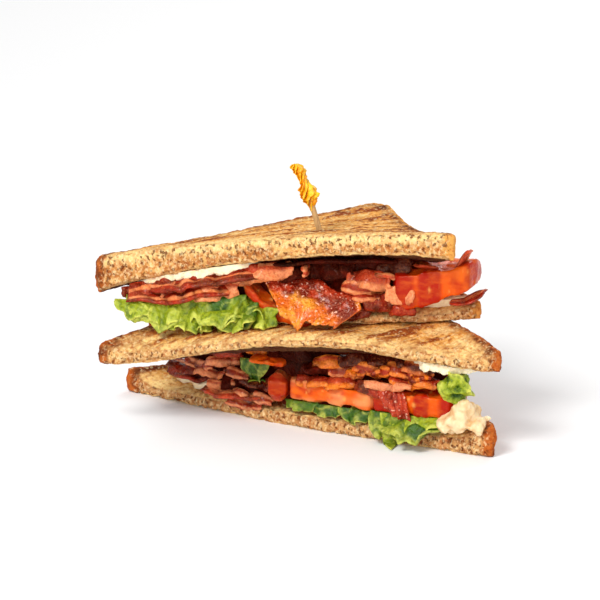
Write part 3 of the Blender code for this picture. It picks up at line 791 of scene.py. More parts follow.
class Gap:
    """The space for filling between two slices, with its front line."""

    def __init__(self, lower, upper, front, start, stop, heading):
        self.start, self.stop, self.heading = start, stop, heading
        self.lower = tree_of(NODES[lower].data)
        self.upper = tree_of(NODES[upper].data)
        self.front = front
        self.middle = sum(box_of(lower))[:2] / 2.0

    def point(self, x, depth, share):
        """A point at x, that far behind the front, at a share of the gap's height."""
        spot = np.array([x, self.front(x) + depth])
        floor, roof = (struck(tree, spot, self.middle, GAP_PULLS, down) for tree, down in (
            (self.lower, True), (self.upper, False)))
        return np.array([*spot, floor[2] + share * (roof[2] - floor[2])])

    def tall(self, x, depth):
        """Height of the gap."""
        return self.point(x, depth, 1.0)[2] - self.point(x, depth, 0.0)[2]

    def axes(self, x, depth, share, heading, pitch):
        """Ways along, across and up from a sheet that follows the gap at a point."""
        step = 6.0
        rise = self.point(x + step, depth, share)[2] - self.point(x - step, depth, share)[2]
        turn = math.radians(heading)
        tip = math.radians(pitch)
        long = np.array([math.cos(turn), math.sin(turn), rise / (2.0 * step)])
        long /= np.linalg.norm(long)
        level = np.array([-math.sin(turn), math.cos(turn), 0.0])
        short = level * math.cos(tip) + np.cross(long, level) * math.sin(tip)
        return long, short, np.cross(long, short)


GAP_PULLS = np.linspace(0.0, 0.5, 11)
UPPER_GAP = Gap("bread_upper_base", "bread_top", upper_front, -54.0, 42.0, -13.0)
LOWER_GAP = Gap("bread_bottom", "bread_lower_lid", lower_front, -36.0, 54.0, -30.0)

BIT_THICK = 1.5
BIT_TWIST = 0.75                  # how far a ribbon turns about its length, in radians
BIT_ARCH = (1.3, 13.0)            # depth and length of a ribbon's long waves
BIT_RUFFLE = (0.9, 5.6)           # depth and length of the waves on its edges
BIT_CUP = 0.8                     # how far its edges bend down


def bit_sheet(gap, x, depth, share, length, width, heading, pitch, tone, amber, bands, seed,
              spacing=RASHER_STEP):
    """Mesh and colours of one waving ribbon of rasher."""
    along, across = grid_shares(length, width, spacing)
    long, short, up = gap.axes(x, depth, share, heading, pitch)
    run = (along - 0.5) * length
    side = (across - 0.5) * tapered(along, 0.6) * width
    spine = shifted(gap.point(x, depth, share), (run, long))
    turn = BIT_TWIST * noise(spine, 9.0, seed + 8)
    sway = 1.2 * noise(spine, 11.0, seed + 9)
    phase = lattice(np.array([seed, 1, 2]), seed)
    flat = shifted(spine, (side, short))
    warp = 0.25 * noise(flat, 6.0, seed + 6)
    edge = (2.0 * across - 1.0) ** 2
    arch = wave(run / BIT_ARCH[1] + phase + 0.6 * warp)
    ruffle = wave(run / BIT_RUFFLE[1] + 2.3 * phase + warp) * edge
    wrinkle = rough(flat, 3.2, seed + 7)
    rise = BIT_ARCH[0] * arch + BIT_RUFFLE[0] * ruffle - BIT_CUP * edge + 0.55 * wrinkle
    fray = 0.6 * rough(flat, 3.0, seed + 2) * (2.0 * across - 1.0)
    end_fray = 2.0 * rough(flat, 3.4, seed + 3) * (2.0 * along - 1.0) ** 3
    wide = (side + fray) * np.cos(turn) + sway
    middle = shifted(spine, (wide, short), (end_fray, long), (rise + side * np.sin(turn), up))
    rim = rounded_rim(along, across, length, width, 0.9)
    mesh = sheet_mesh("bit", middle, rim * (BIT_THICK + 0.30 * noise(flat, 3.0, seed + 4)))
    crest = 0.5 * arch + 0.6 * ruffle + 0.5 * wrinkle
    return mesh, bacon_tint(both(across), points_of(mesh), long, bands, tone, amber, seed, both(crest))


def joined(name, parts, material, slot, *nodes):
    """One piece from several coloured meshes."""
    shape = bmesh.new()
    for mesh, _ in parts:
        shape.from_mesh(mesh)
        bpy.data.meshes.remove(mesh)
    piece = new_piece(name, mesh_of(name, shape), material, slot, *nodes)
    paint(piece, np.concatenate([colours for _, colours in parts]))


THIN_FAT = ((0.15, 0.14), (0.75, 0.16))
FRONT_FAT = ((0.05, 0.30),)
WIDE_FAT = ((0.20, 0.36), (0.85, 0.10))
ALL_FAT = ((0.5, 0.9),)
NO_FAT = ()
CRISP_TONE = 0.90                 # tone from which a bit is burnt crisp
BACK_STEP = 12.0                  # from one fold at the back of a filling to the next; these folds are bacon painted near black, as painted shade deep in the filling
BACK_DEPTH = 8.0
BACK_SPACING = 1.3

# Folds and ribbons of the rashers that fill the upper half: x, depth behind the
# front, height share, length, width, heading and pitch in degrees, tone, how amber
# the fat is, fat bands
UPPER_BITS = (
    (-64, 1, 0.62, 9, 6, -12, 60, 0.72, 0.2, NO_FAT),
    (-57, 0, 0.5, 16, 6.5, -8, 62, 0.55, 0.3, THIN_FAT),
    (-55, 1, 0.74, 18, 5.5, -13, 55, 0.78, 0.2, NO_FAT),
    (-48.5, -1.2, 0.5, 9, 7, 30, 66, 0.66, 0.1, THIN_FAT),
    (-44.5, -1.4, 0.56, 9, 6.5, -50, 66, 0.7, 0.1, NO_FAT),
    (-56, -0.8, 0.3, 12, 5, -24, 60, 0.62, 0.5, THIN_FAT),
    (-47.5, -1.2, 0.34, 10, 6, 12, 64, 0.74, 0.2, THIN_FAT),
    (-43, 0.8, 0.76, 24, 5.5, -12, 55, 0.62, 0.2, NO_FAT),
    (-33, -1.2, 0.52, 22, 9, -10, 66, 0.12, 0.05, WIDE_FAT),
    (-30, 0.6, 0.86, 26, 6, -12, 58, 0.52, 0.2, NO_FAT),
    (-19, 0.3, 0.8, 22, 8, -12, 64, 0.22, 0.2, FRONT_FAT),
    (-10.5, -0.2, 0.84, 18, 7.5, -13, 60, 0.05, 0.2, WIDE_FAT),
    (-7, 2.5, 0.9, 16, 9, -6, 45, 0.95, 0.2, NO_FAT),
    (1, 3, 0.82, 16, 11, 8, 62, 1.05, 0.2, NO_FAT),
    (3.5, 0.2, 0.84, 10, 5, 60, 70, 0.12, 0.2, THIN_FAT),
    (13, 3.5, 0.84, 18, 12, -14, 60, 1.06, 0.2, NO_FAT),
    (26, 4, 0.84, 20, 12, -12, 56, 1.02, 0.2, NO_FAT),
    (37, 3.5, 0.84, 14, 11, -16, 58, 0.86, 0.2, NO_FAT),
    (28, -0.6, 0.62, 17, 8.5, -16, 64, 0.24, 0.2, FRONT_FAT),
    (23, 0.3, 0.48, 12, 7, -24, 65, 0.4, 0.3, THIN_FAT),
    (31.5, -0.6, 0.24, 12, 8, -20, 68, 0.66, 0.2, NO_FAT),
    (39.5, -1.8, 0.38, 12, 7.5, -24, 62, -0.2, 0, ALL_FAT),
    (39.5, -1, 0.12, 10, 4.5, -14, 55, 0.5, 0.2, NO_FAT),
    (18, 0.8, 0.14, 20, 7, -14, 60, 0.75, 0.2, NO_FAT),
    (26, 0.5, 0.34, 14, 6, -10, 62, 0.5, 0.3, THIN_FAT),
)

# Folds and ribbons that fill the lower half, in the same order
LOWER_BITS = (
    (-55.5, 0.2, 0.55, 13, 4, -20, 40, 0.72, 0.2, NO_FAT),
    (-50, 0.3, 0.62, 14, 5, -24, 50, 0.6, 0.2, THIN_FAT),
    (-45, 0.8, 0.4, 14, 5, -18, 50, 0.72, 0.3, NO_FAT),
    (-40.5, 0.6, 0.78, 17, 6, -20, 62, 0.34, 0.2, NO_FAT),
    (-31, 0.2, 0.84, 22, 6, -26, 64, 0.3, 0.2, NO_FAT),
    (-38, 0.6, 0.5, 15, 5, -40, 55, 0.62, 0, THIN_FAT),
    (-29.5, 0, 0.62, 14, 4.5, -12, 66, 0.4, 0.2, WIDE_FAT),
    (-34.5, 0.3, 0.42, 14, 4, -36, 45, 0.58, 0.3, WIDE_FAT),
    (-24.5, -0.3, 0.52, 14, 4.5, -50, 62, 0.72, 0, THIN_FAT),
    (-29.5, 0, 0.27, 12, 4, -12, 50, 0.36, 0.2, WIDE_FAT),
    (-20, -0.5, 0.4, 13, 4.5, -54, 66, 0.88, 0, NO_FAT),
    (-24.5, -0.6, 0.22, 14, 4, -42, 54, 0.55, 0.1, WIDE_FAT),
    (-20, -0.7, 0.1, 15, 4, -26, 52, 0.6, 0, THIN_FAT),
    (-15, -0.6, 0.22, 12, 4.5, -46, 62, 0.62, 0, THIN_FAT),
    (-13, 0.5, 0.36, 12, 6, -44, 62, 0.75, 0, NO_FAT),
    (-25, 0.2, 0.93, 9, 5, -20, 60, 0, 1, ALL_FAT),
    (-16.5, 0, 0.92, 10, 5.5, -22, 60, 0, 0.9, ALL_FAT),
    (-4, 3, 0.84, 14, 10, -14, 55, 1, 0.2, NO_FAT),
    (1, 1.6, 0.8, 15, 12, -20, 62, 1.05, 0.2, NO_FAT),
    (8, 3, 0.84, 16, 12, -24, 60, 1.06, 0.2, NO_FAT),
    (12, 0.3, 0.86, 11, 6, -12, 58, 0.1, 1, WIDE_FAT),
    (6, -0.8, 0.56, 16, 6, -30, 58, 0.38, 1, FRONT_FAT),
    (15, -1, 0.56, 15, 6, -30, 54, 0.38, 0.95, FRONT_FAT),
    (20, 1, 0.74, 17, 6.5, -26, 58, 0.62, 0.6, THIN_FAT),
    (24, 2, 0.9, 18, 6, -22, 52, 0.86, 0.5, NO_FAT),
    (29, 0.4, 0.78, 17, 6, -34, 58, 0.45, 0.8, THIN_FAT),
    (34, 1.6, 0.92, 18, 6, -26, 52, 0.88, 0.5, NO_FAT),
    (38, 0.2, 0.8, 16, 6.5, -30, 55, 0.58, 0.8, THIN_FAT),
    (45.5, 1, 0.86, 15, 6.5, -30, 54, 0.82, 0.7, THIN_FAT),
    (48.5, -0.2, 0.7, 13, 6, -34, 55, 0.45, 0.9, FRONT_FAT),
    (42, -0.7, 0.64, 14, 5, -26, 54, 0.4, 0.9, FRONT_FAT),
    (33.5, -2.6, 0.58, 24, 3.6, -31, 62, -0.1, 0, ALL_FAT),
    (31, -2.2, 0.48, 14, 5, -34, 66, 0.66, 0, NO_FAT),
    (26.5, -1.5, 0.56, 11, 5, -30, 62, 0.8, 0.2, NO_FAT),
)


def make_bits(materials):
    for name, gap, table, seed in (("upper", UPPER_GAP, UPPER_BITS, 5000),
                                   ("lower", LOWER_GAP, LOWER_BITS, 6000)):
        heaps = {"bacon": [], "crisp_bacon": []}
        for index, facts in enumerate(table):
            slot = "crisp_bacon" if facts[7] >= CRISP_TONE else "bacon"
            heaps[slot].append(bit_sheet(gap, *facts, seed + 10 * index))
        # folds of bacon at the back of each filling, painted near black as painted shade deep in it
        for x in np.arange(gap.start, gap.stop, BACK_STEP):
            facts = (x, BACK_DEPTH, 0.5, 1.5 * BACK_STEP, 0.95 * gap.tall(x, BACK_DEPTH), gap.heading,
                     80.0, 0.93, 0.2, NO_FAT)
            heaps["crisp_bacon"].append(bit_sheet(gap, *facts, seed + 701 + int(x), BACK_SPACING))
        for slot, parts in heaps.items():
            joined(f"{name}_{slot}_bits", parts, materials[slot], slot)


def make_bacon():
    materials = {"bacon": bacon_material("bacon_look", 1.0, 0.36),
                 "crisp_bacon": bacon_material("crisp_bacon_look", 0.20, 0.70, 0.04)}
    glossy = bacon_material("glossy_bacon_look", 1.5, 0.28, 0.10, 1.0, 0.75)
    for index, (node, facts) in enumerate(RASHERS):
        make_rasher(node, materials, 900 + 40 * index, **facts)
    make_glossy_rasher(glossy)
    make_draped_rasher(glossy)
    make_bits(materials)


# Where the glossy rasher's left and right edges lie, as x at shares of its height
GLOSSY_LEFT = ((0.0, -4.0), (0.4, -8.5), (1.0, -16.5))
GLOSSY_RIGHT = ((0.0, 13.0), (0.35, 25.0), (0.6, 23.0), (1.0, 17.0))
GLOSSY_TIP = 0.5                  # x of the tip that hangs lowest
GLOSSY_VOXEL = 0.5


def make_glossy_rasher(material):
    """The broad rasher that hangs down the front of the upper half."""
    node = "bacon_upper_front"
    mesh = refined(node, GLOSSY_VOXEL, 14)
    points = points_of(mesh)
    normals = normals_of(mesh)
    low, high = box_of(node)
    share = (points - low) / (high - low)
    lumps = rough(points, 5.0, 1700)
    wrinkles = rough(points * [1.0, 0.5, 0.5], 2.4, 1720)
    pearls = rough(points, 1.3, 1730, 2)
    left = np.interp(share[:, 2], *np.array(GLOSSY_LEFT).T)
    right = np.interp(share[:, 2], *np.array(GLOSSY_RIGHT).T)
    points[:, 0] = left + share[:, 0] * (right - left)
    points[:, 1] -= UPPER_SLOPE * (points[:, 0] - low[0] - share[:, 0] * (high[0] - low[0]))
    points[:, 2] += 2.2 * share[:, 2] ** 2
    moved = points + normals * (0.9 * lumps + 0.35 * wrinkles + 0.25 * pearls)[:, None]
    hem = fade(share[:, 2], 0.0, 0.35)
    moved[:, 2] += hem * 1.4 * rough(points * [1.0, 0.0, 0.0], 6.0, 1735)
    moved[:, 2] -= 3.5 * hem * np.exp(-((points[:, 0] - GLOSSY_TIP) / 2.6) ** 2)
    moved[:, 1] -= 1.2 * hem * rough(points * [1.0, 0.0, 0.0], 7.0, 1738)
    set_points(mesh, moved)
    piece = new_piece(node + "_rasher", mesh, material, "bacon", node)
    meat = layered(linear(124, 18, 6), (linear(186, 48, 18), ease(rough(points, 3.0, 1740), -0.3, 0.6)),
                   (MEAT_DARK, 0.6 * ease(rough(points, 2.2, 1750), 0.25, 0.8)))
    fat = mix(linear(228, 102, 14), linear(248, 166, 48), ease(lumps, -0.3, 0.6))
    side = 1.2 * share[:, 2] + 0.75 * share[:, 0] + 0.25 * rough(points, 4.5, 1760)
    paint(piece, layered(fat, (meat, ease(side, 0.70, 0.92) * fade(share[:, 0], 0.93, 0.99)),
                         (FAT_PALE, 0.3 * fade(share[:, 2], 0.02, 0.12))))


# The rasher folded over the lower tomato's edge: x, width, drop past the edge,
# lean of the fall to the right, tone
DRAPE_FALLS = (
    (30.0, 6.5, 7.0, 7.0, 0.80),
    (33.5, 6.5, 10.0, 6.5, 0.45),
    (37.0, 5.0, 11.0, 4.5, 0.75),
)
DRAPE_BACK = 9.0                  # how far back on the tomato the falls start
DRAPE_THICK = 1.2
DRAPE_STEP = 0.45


def make_draped_rasher(material):
    """Falls of one thin rasher over the front edge of the lower right tomato."""
    node = "bacon_lower_drape"
    top = box_of(node)[1][2] - 1.0
    parts = []
    for index, (x, width, drop, lean, tone) in enumerate(DRAPE_FALLS):
        seed = 1800 + 20 * index
        length = DRAPE_BACK + drop
        along, across = grid_shares(length, width, DRAPE_STEP)
        run = along * length
        past = np.clip(run - DRAPE_BACK, 0.0, None)
        bend = ease(run, DRAPE_BACK - 3.0, DRAPE_BACK + 2.0)
        spread = (across - 0.5) * width
        place = x + spread + lean * along
        front = lower_front(place)
        flat = np.stack([place, front, run], axis=2)
        fold = 0.9 * wave(across * 0.9 + 0.13 * index) + 1.3 * rough(flat, 4.0, seed)
        depth = DRAPE_BACK - run + past - 0.5 - 1.9 * bend - fold * bend
        height = top - 0.9 * past - 1.2 * bend + 0.7 * fold * (1.0 - bend)
        middle = np.stack([place, front + depth, height], axis=2)
        rim = rounded_rim(along, across, length, width, 0.8)
        mesh = sheet_mesh("fall", middle, DRAPE_THICK * rim)
        points = points_of(mesh)
        stripes = ease(rough(points * [1.0, 1.0, 0.6], 3.4, seed + 4), -0.4, 0.5)
        colours = mix(linear(204, 56, 22), linear(150, 16, 4), np.clip(stripes + tone - 0.5, 0, 1))
        parts.append((mesh, colours))
    joined(node + "_rasher", parts, material, "bacon", node)


# ---- tomato
SKIN = linear(158, 6, 1)
FLESH = linear(190, 32, 2)
FLESH_PALE = linear(240, 102, 16)
SALMON = linear(248, 156, 96)
GEL = linear(240, 92, 6)
SEED = linear(250, 196, 100)
TOMATO_THICK = 6.6
TOMATO_VOXEL = 0.55

# redness; shift: how much redder the right end is; rise: how much taller the left
# and the right end are; reach: how far they go past the CAD slice; slope: how far
# it falls for each step to the right; forward; salmon: how pale the flesh is
TOMATOES = (
    ("tomato_upper_left", dict(redness=0.45, shift=-0.2, reach=(1.0, 0.0), slope=0.35,
                               forward=2.0, salmon=0.2)),
    ("tomato_upper_right", dict(redness=0.62, shift=-1.3, rise=(4.0, 0.0), reach=(0.0, -1.5),
                                brow=(3.0, 4.5))),
    ("tomato_lower_left", dict(redness=0.20, shift=0.4, rise=(2.0, 1.5), reach=(1.5, 3.5),
                               salmon=0.8)),
    ("tomato_lower_right", dict(redness=0.85, shift=-0.2, rise=(3.0, 3.5), reach=(3.0, 0.0))),
    ("tomato_lower_back", dict(redness=0.4)),
    ("tomato_lower_back_right", dict(redness=0.4)),
    ("tomato_lower_chunk", dict(redness=-0.1, shift=-1.2, forward=1.0, salmon=0.6)),
    ("tomato_lower_bit", dict(redness=0.05)),
)


def floor_under(points, normals):
    """Height of the plane through the faces that look down, at each point."""
    under = normals[:, 2] < -0.7
    spots = np.column_stack([points[:, :2], np.ones(len(points))])
    plane = np.linalg.lstsq(spots[under], points[under, 2], rcond=None)[0]
    return spots @ plane


def make_tomato(node, material, seed, redness, shift=0.0, rise=(0.0, 0.0), reach=(0.0, 0.0),
                slope=0.0, forward=0.0, salmon=0.0, brow=(0.0, 0.0)):
    """A slice of tomato: red skin, paler flesh, wet pockets of seeds.

    rise and brow lift its top, at its left and right ends: all of it, or its front."""
    mesh = refined(node, TOMATO_VOXEL, 8)
    points = points_of(mesh)
    normals = normals_of(mesh)
    low, high = box_of(node)
    plan = points[:, :2].copy()
    share = (plan[:, 0] - low[0]) / (high[0] - low[0])
    middle = np.array([(low[0] + high[0]) / 2.0, low[1] + 0.45 * (high[1] - low[1])])
    radius = (high[0] - low[0]) / 2.0
    away = np.linalg.norm(plan - middle, axis=1) / radius
    angle = np.arctan2(plan[:, 1] - middle[1], plan[:, 0] - middle[0])
    chambers = ease(np.cos(5.0 * angle + 0.8 * noise(points, 20.0, seed)), -0.1, 0.7)
    pocket = chambers * ease(away, 0.22, 0.36) * fade(away, 0.66, 0.80)
    level = np.abs(normals[:, 2])
    lumps = rough(points, 4.0, seed + 1)
    seeds = pits(points, 2.6, seed + 7, 0.46) * ease(rough(points, 9.0, seed + 8), -0.4, 0.1)
    move = 0.30 * lumps - 0.9 * pocket * level + 0.5 * seeds
    height = np.clip((points[:, 2] - floor_under(points, normals)) / TOMATO_THICK, 0.0, 1.0)
    rightward = ease(share, 0.2, 0.9)
    front = fade(points[:, 1] - upper_front(points[:, 0]), 3.0, 16.0)
    points[:, 2] += (mix(*rise, rightward) + mix(*brow, rightward) * front) * height
    points[:, 2] -= slope * (points[:, 0] - low[0])
    grown = reach[1] * ease(share, 0.5, 1.0) - reach[0] * fade(share, 0.0, 0.5)
    points[:, 0] += grown
    points[:, 1] -= LOWER_SLOPE * grown + forward
    set_points(mesh, points + normals * move[:, None])
    fibres = rough(points * [0.4, 0.4, 1.0], 2.2, seed + 3)
    paler = salmon * ease(rough(points * [0.3, 0.3, 1.0], 3.0, seed + 5), -0.4, 0.5)
    patches = 0.5 * rough(points, 10.0, seed + 2) + 2.0 * (redness + shift * (share - 0.5)) - 1.0
    piece = new_piece(node + "_slice", mesh, material, "tomato", node)
    paint(piece, layered(FLESH, (FLESH_PALE, ease(0.6 * fibres + 0.6 * lumps, -0.5, 0.5)),
                         (SALMON, paler), (mix(SKIN, FLESH, 0.35), ease(patches, -0.5, 0.6)),
                         (GEL, 0.75 * pocket), (SEED, 0.7 * seeds),
                         (SKIN, 0.8 * ease(away + 0.03 * lumps, 0.93, 1.0))))


def make_tomatoes():
    material = tomato_material()
    for index, (node, facts) in enumerate(TOMATOES):
        make_tomato(node, material, 2000 + 40 * index, **facts)


# ---- lettuce
LEAF = linear(156, 170, 28)
LEAF_PALE = linear(224, 224, 98)
LEAF_DARK = linear(60, 98, 10)
LEAF_THICK = 0.8
LEAF_STEP = 0.8                   # the grid that a leaf is made on
RUFFLE_THICK = 0.6
RUFFLE_STEP = 0.5


def make_leaf(node, material, seed, ruffles, wild=0.0, dark=0.5, slot="lettuce",
              hem=((0.0, 0.0), (1.0, 0.0))):
    """A crinkled leaf between its node's floor and roof, wilder at its front.

    hem says, along the leaf, at which share of its width the front edge lies."""
    room = Room(node)
    along, across = grid_shares(*room.size, LEAF_STEP)
    edge = np.interp(along, *np.array(hem).T)
    plan, floor, roof = room.sounded(along, edge + (1.0 - edge) * across)
    frill = ease(1.0 - across, 0.55, 1.0)
    crest = np.sin(2.0 * math.pi * ruffles * along + 5.0 * noise(plan, 9.0, seed))
    share = 0.5 + 0.5 * (crest * frill + 0.8 * rough(plan, 4.0, seed + 1))
    middle = plan.copy()
    clear = np.maximum(roof - floor - LEAF_THICK, 0.0)
    middle[..., 2] = floor + LEAF_THICK / 2.0 + clear * np.clip(share, -0.1, 1.1)
    middle[..., 2] += wild * frill * crest
    fringe = (1.3 * rough(plan, 2.6, seed + 2) - 0.4) * frill ** 3
    middle[..., :2] -= fringe[..., None] * room.short
    mesh = sheet_mesh(node + "_leaf", middle, LEAF_THICK * rounded_rim(along, across, *room.size, 0.5))
    points = points_of(mesh)
    veins = ease(rough(stretched(points, room.short, 4.0), 4.5, seed + 3), 0.25, 0.55)
    shade = ease(rough(points, 9.0, seed + 4) + dark - 0.5, -0.35, 0.45)
    piece = new_piece(node + "_leaf", mesh, material, slot, node)
    paint(piece, layered(LEAF, (LEAF_DARK, shade), (LEAF_PALE, 0.55 * veins),
                         (LEAF_PALE, 0.55 * ease(both(frill), 0.75, 1.0))))


# A ruffled piece of leaf: x, depth behind the front, height share (of its base),
# length along the frill, width, heading, pitch, ruffle height, darkness
UPPER_LEAVES = (
    (-61, -1, 0.34, 20, 9, -8, -30, 1.6, 0.1),
    (-50, -1, 0.36, 24, 12, -14, -42, 2, 0.15),
    (-38, 0, 0.42, 20, 14, -10, -55, 2.8, 0.45),
    (-27.5, 0, 0.42, 18, 14, -22, -52, 3, 0.65),
    (-20, 0.5, 0.28, 12, 11, -30, -55, 2.4, 0.9),
    (-12, -0.5, 0.2, 14, 10, -36, -45, 1.8, 0.35),
    (-44, -3, 0.14, 26, 8, -12, -30, 1.8, 0.3),
    (-25, -3, 0.14, 20, 8, -16, -34, 2, 0.45),
)
LOWER_LEAVES = (
    (-16.6, -1.8, 0.78, 13, 9.5, -32, -84, 1.5, 1.4),
    (2, 0.5, 0.2, 16, 4.2, -32, -50, 0.8, 0.9),
    (12, 0.5, 0.2, 18, 4.8, -30, -55, 0.9, 1),
    (23, 0.5, 0.2, 16, 5.6, -30, -60, 1.2, 0.75),
    (32.5, -0.5, 0.22, 9, 11, -30, -72, 2.2, 0.6),
    (36, -1, 0.22, 8, 20, -20, -78, 2.4, 0.25),
    (39, -0.5, 0.22, 6, 11, -30, -70, 1.8, 0.45),
    (46, -0.5, 0.22, 12, 9, -30, -58, 2, 0.05),
    (52, -0.5, 0.24, 11, 6, -26, -50, 1.6, 0),
)
UPPER_HEM = ((0.0, 0.35), (0.12, 0.06), (0.8, 0.06), (1.0, 0.45))
LOWER_HEM = ((0.0, 0.0), (0.3, 0.02), (0.45, 0.15), (0.8, 0.15), (1.0, 0.08))
CURL_RADII = np.array([5.4, 4.4, 5.6])


def leaf_sheet(gap, x, depth, share, length, width, heading, pitch, ruffle, dark, seed):
    """A leaf that ruffles ever more towards its free edge, and its colours."""
    along, across = grid_shares(length, width, RUFFLE_STEP)
    long, inward, up = gap.axes(x, depth, share, heading, -pitch)
    short = -inward
    dome = np.sin(math.pi * np.clip(along, 0.02, 0.98)) ** 0.6
    flat = shifted(gap.point(x, depth, share), ((along - 0.5) * length, long),
                   (across * dome * width, short))
    warp = 0.5 * noise(flat, 8.0, seed)
    slow = wave(along * length / 11.0 + warp + 0.37 * seed)
    quick = wave(along * length / 4.4 + 1.5 * warp + 0.21 * seed)
    crest = slow * across ** 1.2 + 0.35 * quick * across ** 3
    crest = crest + 0.45 * rough(flat, 3.4, seed + 1)
    sideways = np.cos(2.0 * math.pi * (along * length / 4.4 + warp)) * across ** 2
    jag = 1.3 * rough(flat * [1.0, 1.0, 0.0], 2.0, seed + 2) * across ** 3
    curl = -0.18 * width * across ** 2.5
    middle = shifted(flat, (ruffle * crest + curl, up), (0.9 * sideways, long), (jag, short))
    sunk = np.minimum(middle[..., 2] - 1.0, 0.0)     # what would sink lies out over the floor
    middle[..., 1] += 0.8 * sunk
    rim = rounded_rim(along, across, length, width, 0.4)
    mesh = sheet_mesh("leaf", middle, RUFFLE_THICK * rim)
    points = points_of(mesh)
    out, ridge = both(across), both(crest)
    veins = fade(np.abs(noise(stretched(points, short, 3.5), 4.0, seed + 3)), 0.0, 0.16)
    shade = ease(rough(points, 8.0, seed + 4) + 2.0 * dark - 1.0, -0.5, 0.6)
    # the ruffles' valleys are painted darker as painted shade and their crests paler as a painted
    # highlight
    return mesh, layered(LEAF, (LEAF_DARK, shade), (LEAF_PALE, 0.5 * veins * (1.0 - 0.5 * out)),
                         (LEAF_DARK, 0.6 * ease(-ridge, 0.1, 1.0)),
                         (LEAF_PALE, 0.55 * ease(ridge, 0.2, 1.1)),
                         (LEAF_PALE, 0.85 * ease(out, 0.90, 1.0)))


def make_lettuce():
    material = lettuce_material()
    make_leaf("lettuce_upper", material, 3000, ruffles=6.0, wild=1.0, hem=UPPER_HEM)
    make_leaf("lettuce_upper_back", material, 3040, ruffles=7.0)
    make_leaf("lettuce_lower", material, 3080, ruffles=8.0, wild=0.4, hem=LOWER_HEM)
    make_leaf("lettuce_lower_dark", material, 3120, ruffles=3.0, dark=1.0, slot="dark_lettuce")
    for name, gap, table, seed in (("upper_leaf_frills", UPPER_GAP, UPPER_LEAVES, 3300),
                                   ("lower_leaf_frills", LOWER_GAP, LOWER_LEAVES, 3500)):
        parts = [leaf_sheet(gap, *facts, seed + 10 * index) for index, facts in enumerate(table)]
        joined(name, parts, material, "lettuce")
    make_curl(material)


def make_curl(material):
    """The tightly curled end of a leaf at the right of the lower half."""
    node = "lettuce_lower_curl"
    low, high = box_of(node)
    shape = bmesh.new()
    bmesh.ops.create_icosphere(shape, subdivisions=6, radius=MM)
    mesh = mesh_of("curl", shape)
    way = points_of(mesh)
    ball = way * CURL_RADII
    ridges = 1.0 - 2.2 * np.abs(rough(ball, 8.0, 3720))
    ruffles = 1.0 - 2.2 * np.abs(rough(ball, 3.6, 3740))
    reach = 2.8 * (ridges - 0.4) + 1.5 * (ruffles - 0.4)
    set_points(mesh, (low + high) / 2.0 + ball + way * reach[:, None])
    piece = new_piece(node + "_leaf", mesh, material, "lettuce", node)
    # dark in the hollows and pale on the ridges: painted shade and painted highlight
    height = 0.6 * ridges + 0.4 * ruffles
    paint(piece, layered(LEAF_DARK, (LEAF, ease(height, 0.1, 0.65)),
                         (LEAF_PALE, 0.8 * ease(height, 0.55, 0.95))))


# ---- mayonnaise
MAYO = linear(252, 232, 196)
MAYO_WARM = linear(244, 196, 130)

# Spread on a slice: node, slice, whether on its top, and along the cut from the
# left tip to the right (share, distance back from the cut, bead thickness)
SPREADS = (
    ("mayo_under_top", "bread_top", False,
     ((0.09, 4, 0.6), (0.11, 2.5, 0.8), (0.15, -0.2, 1.8), (0.2, -0.8, 3.2), (0.36, -0.9, 3.4),
      (0.41, -0.6, 1.8), (0.45, 5, 0.8), (0.56, 12, 0.6))),
    ("mayo_upper_base", "bread_upper_base", True,
     ((0.55, 6, 0.6), (0.66, 3, 0.6), (0.72, -0.2, 2.2), (0.9, -0.3, 2.6), (0.96, 1.5, 1.6),
      (1, 4, 0.8))),
    ("mayo_under_lid", "bread_lower_lid", False,
     ((0.66, 12, 0.6), (0.76, 8, 0.6), (0.79, 2, 1.4), (0.81, -0.8, 3.4), (0.86, -0.9, 3.2),
      (0.92, 0.5, 1.4), (0.96, 4, 0.6))),
    ("mayo_bottom", "bread_bottom", True,
     ((0.1, 6, 0.6), (0.15, 2, 2.6), (0.17, 3, 1), (0.19, -0.6, 3), (0.24, -0.9, 3.8),
      (0.27, 1, 0.8), (0.5, 3, 0.8), (0.78, 1, 1.2), (0.83, -0.4, 2.8), (0.93, -0.2, 3),
      (1, 4, 1))),
)
SPREAD_THIN = 0.7                 # the film away from the bead
SPREAD_EDGE = 4.0                 # how far the film stops short of the crust
BEAD_REACH = 4.5
SPREAD_GRID = (150, 30)           # places along and back from the cut
SPREAD_DEPTH = 14.0               # how far back the film goes at most
SPREAD_PULLS = np.linspace(0.0, 0.3, 9)


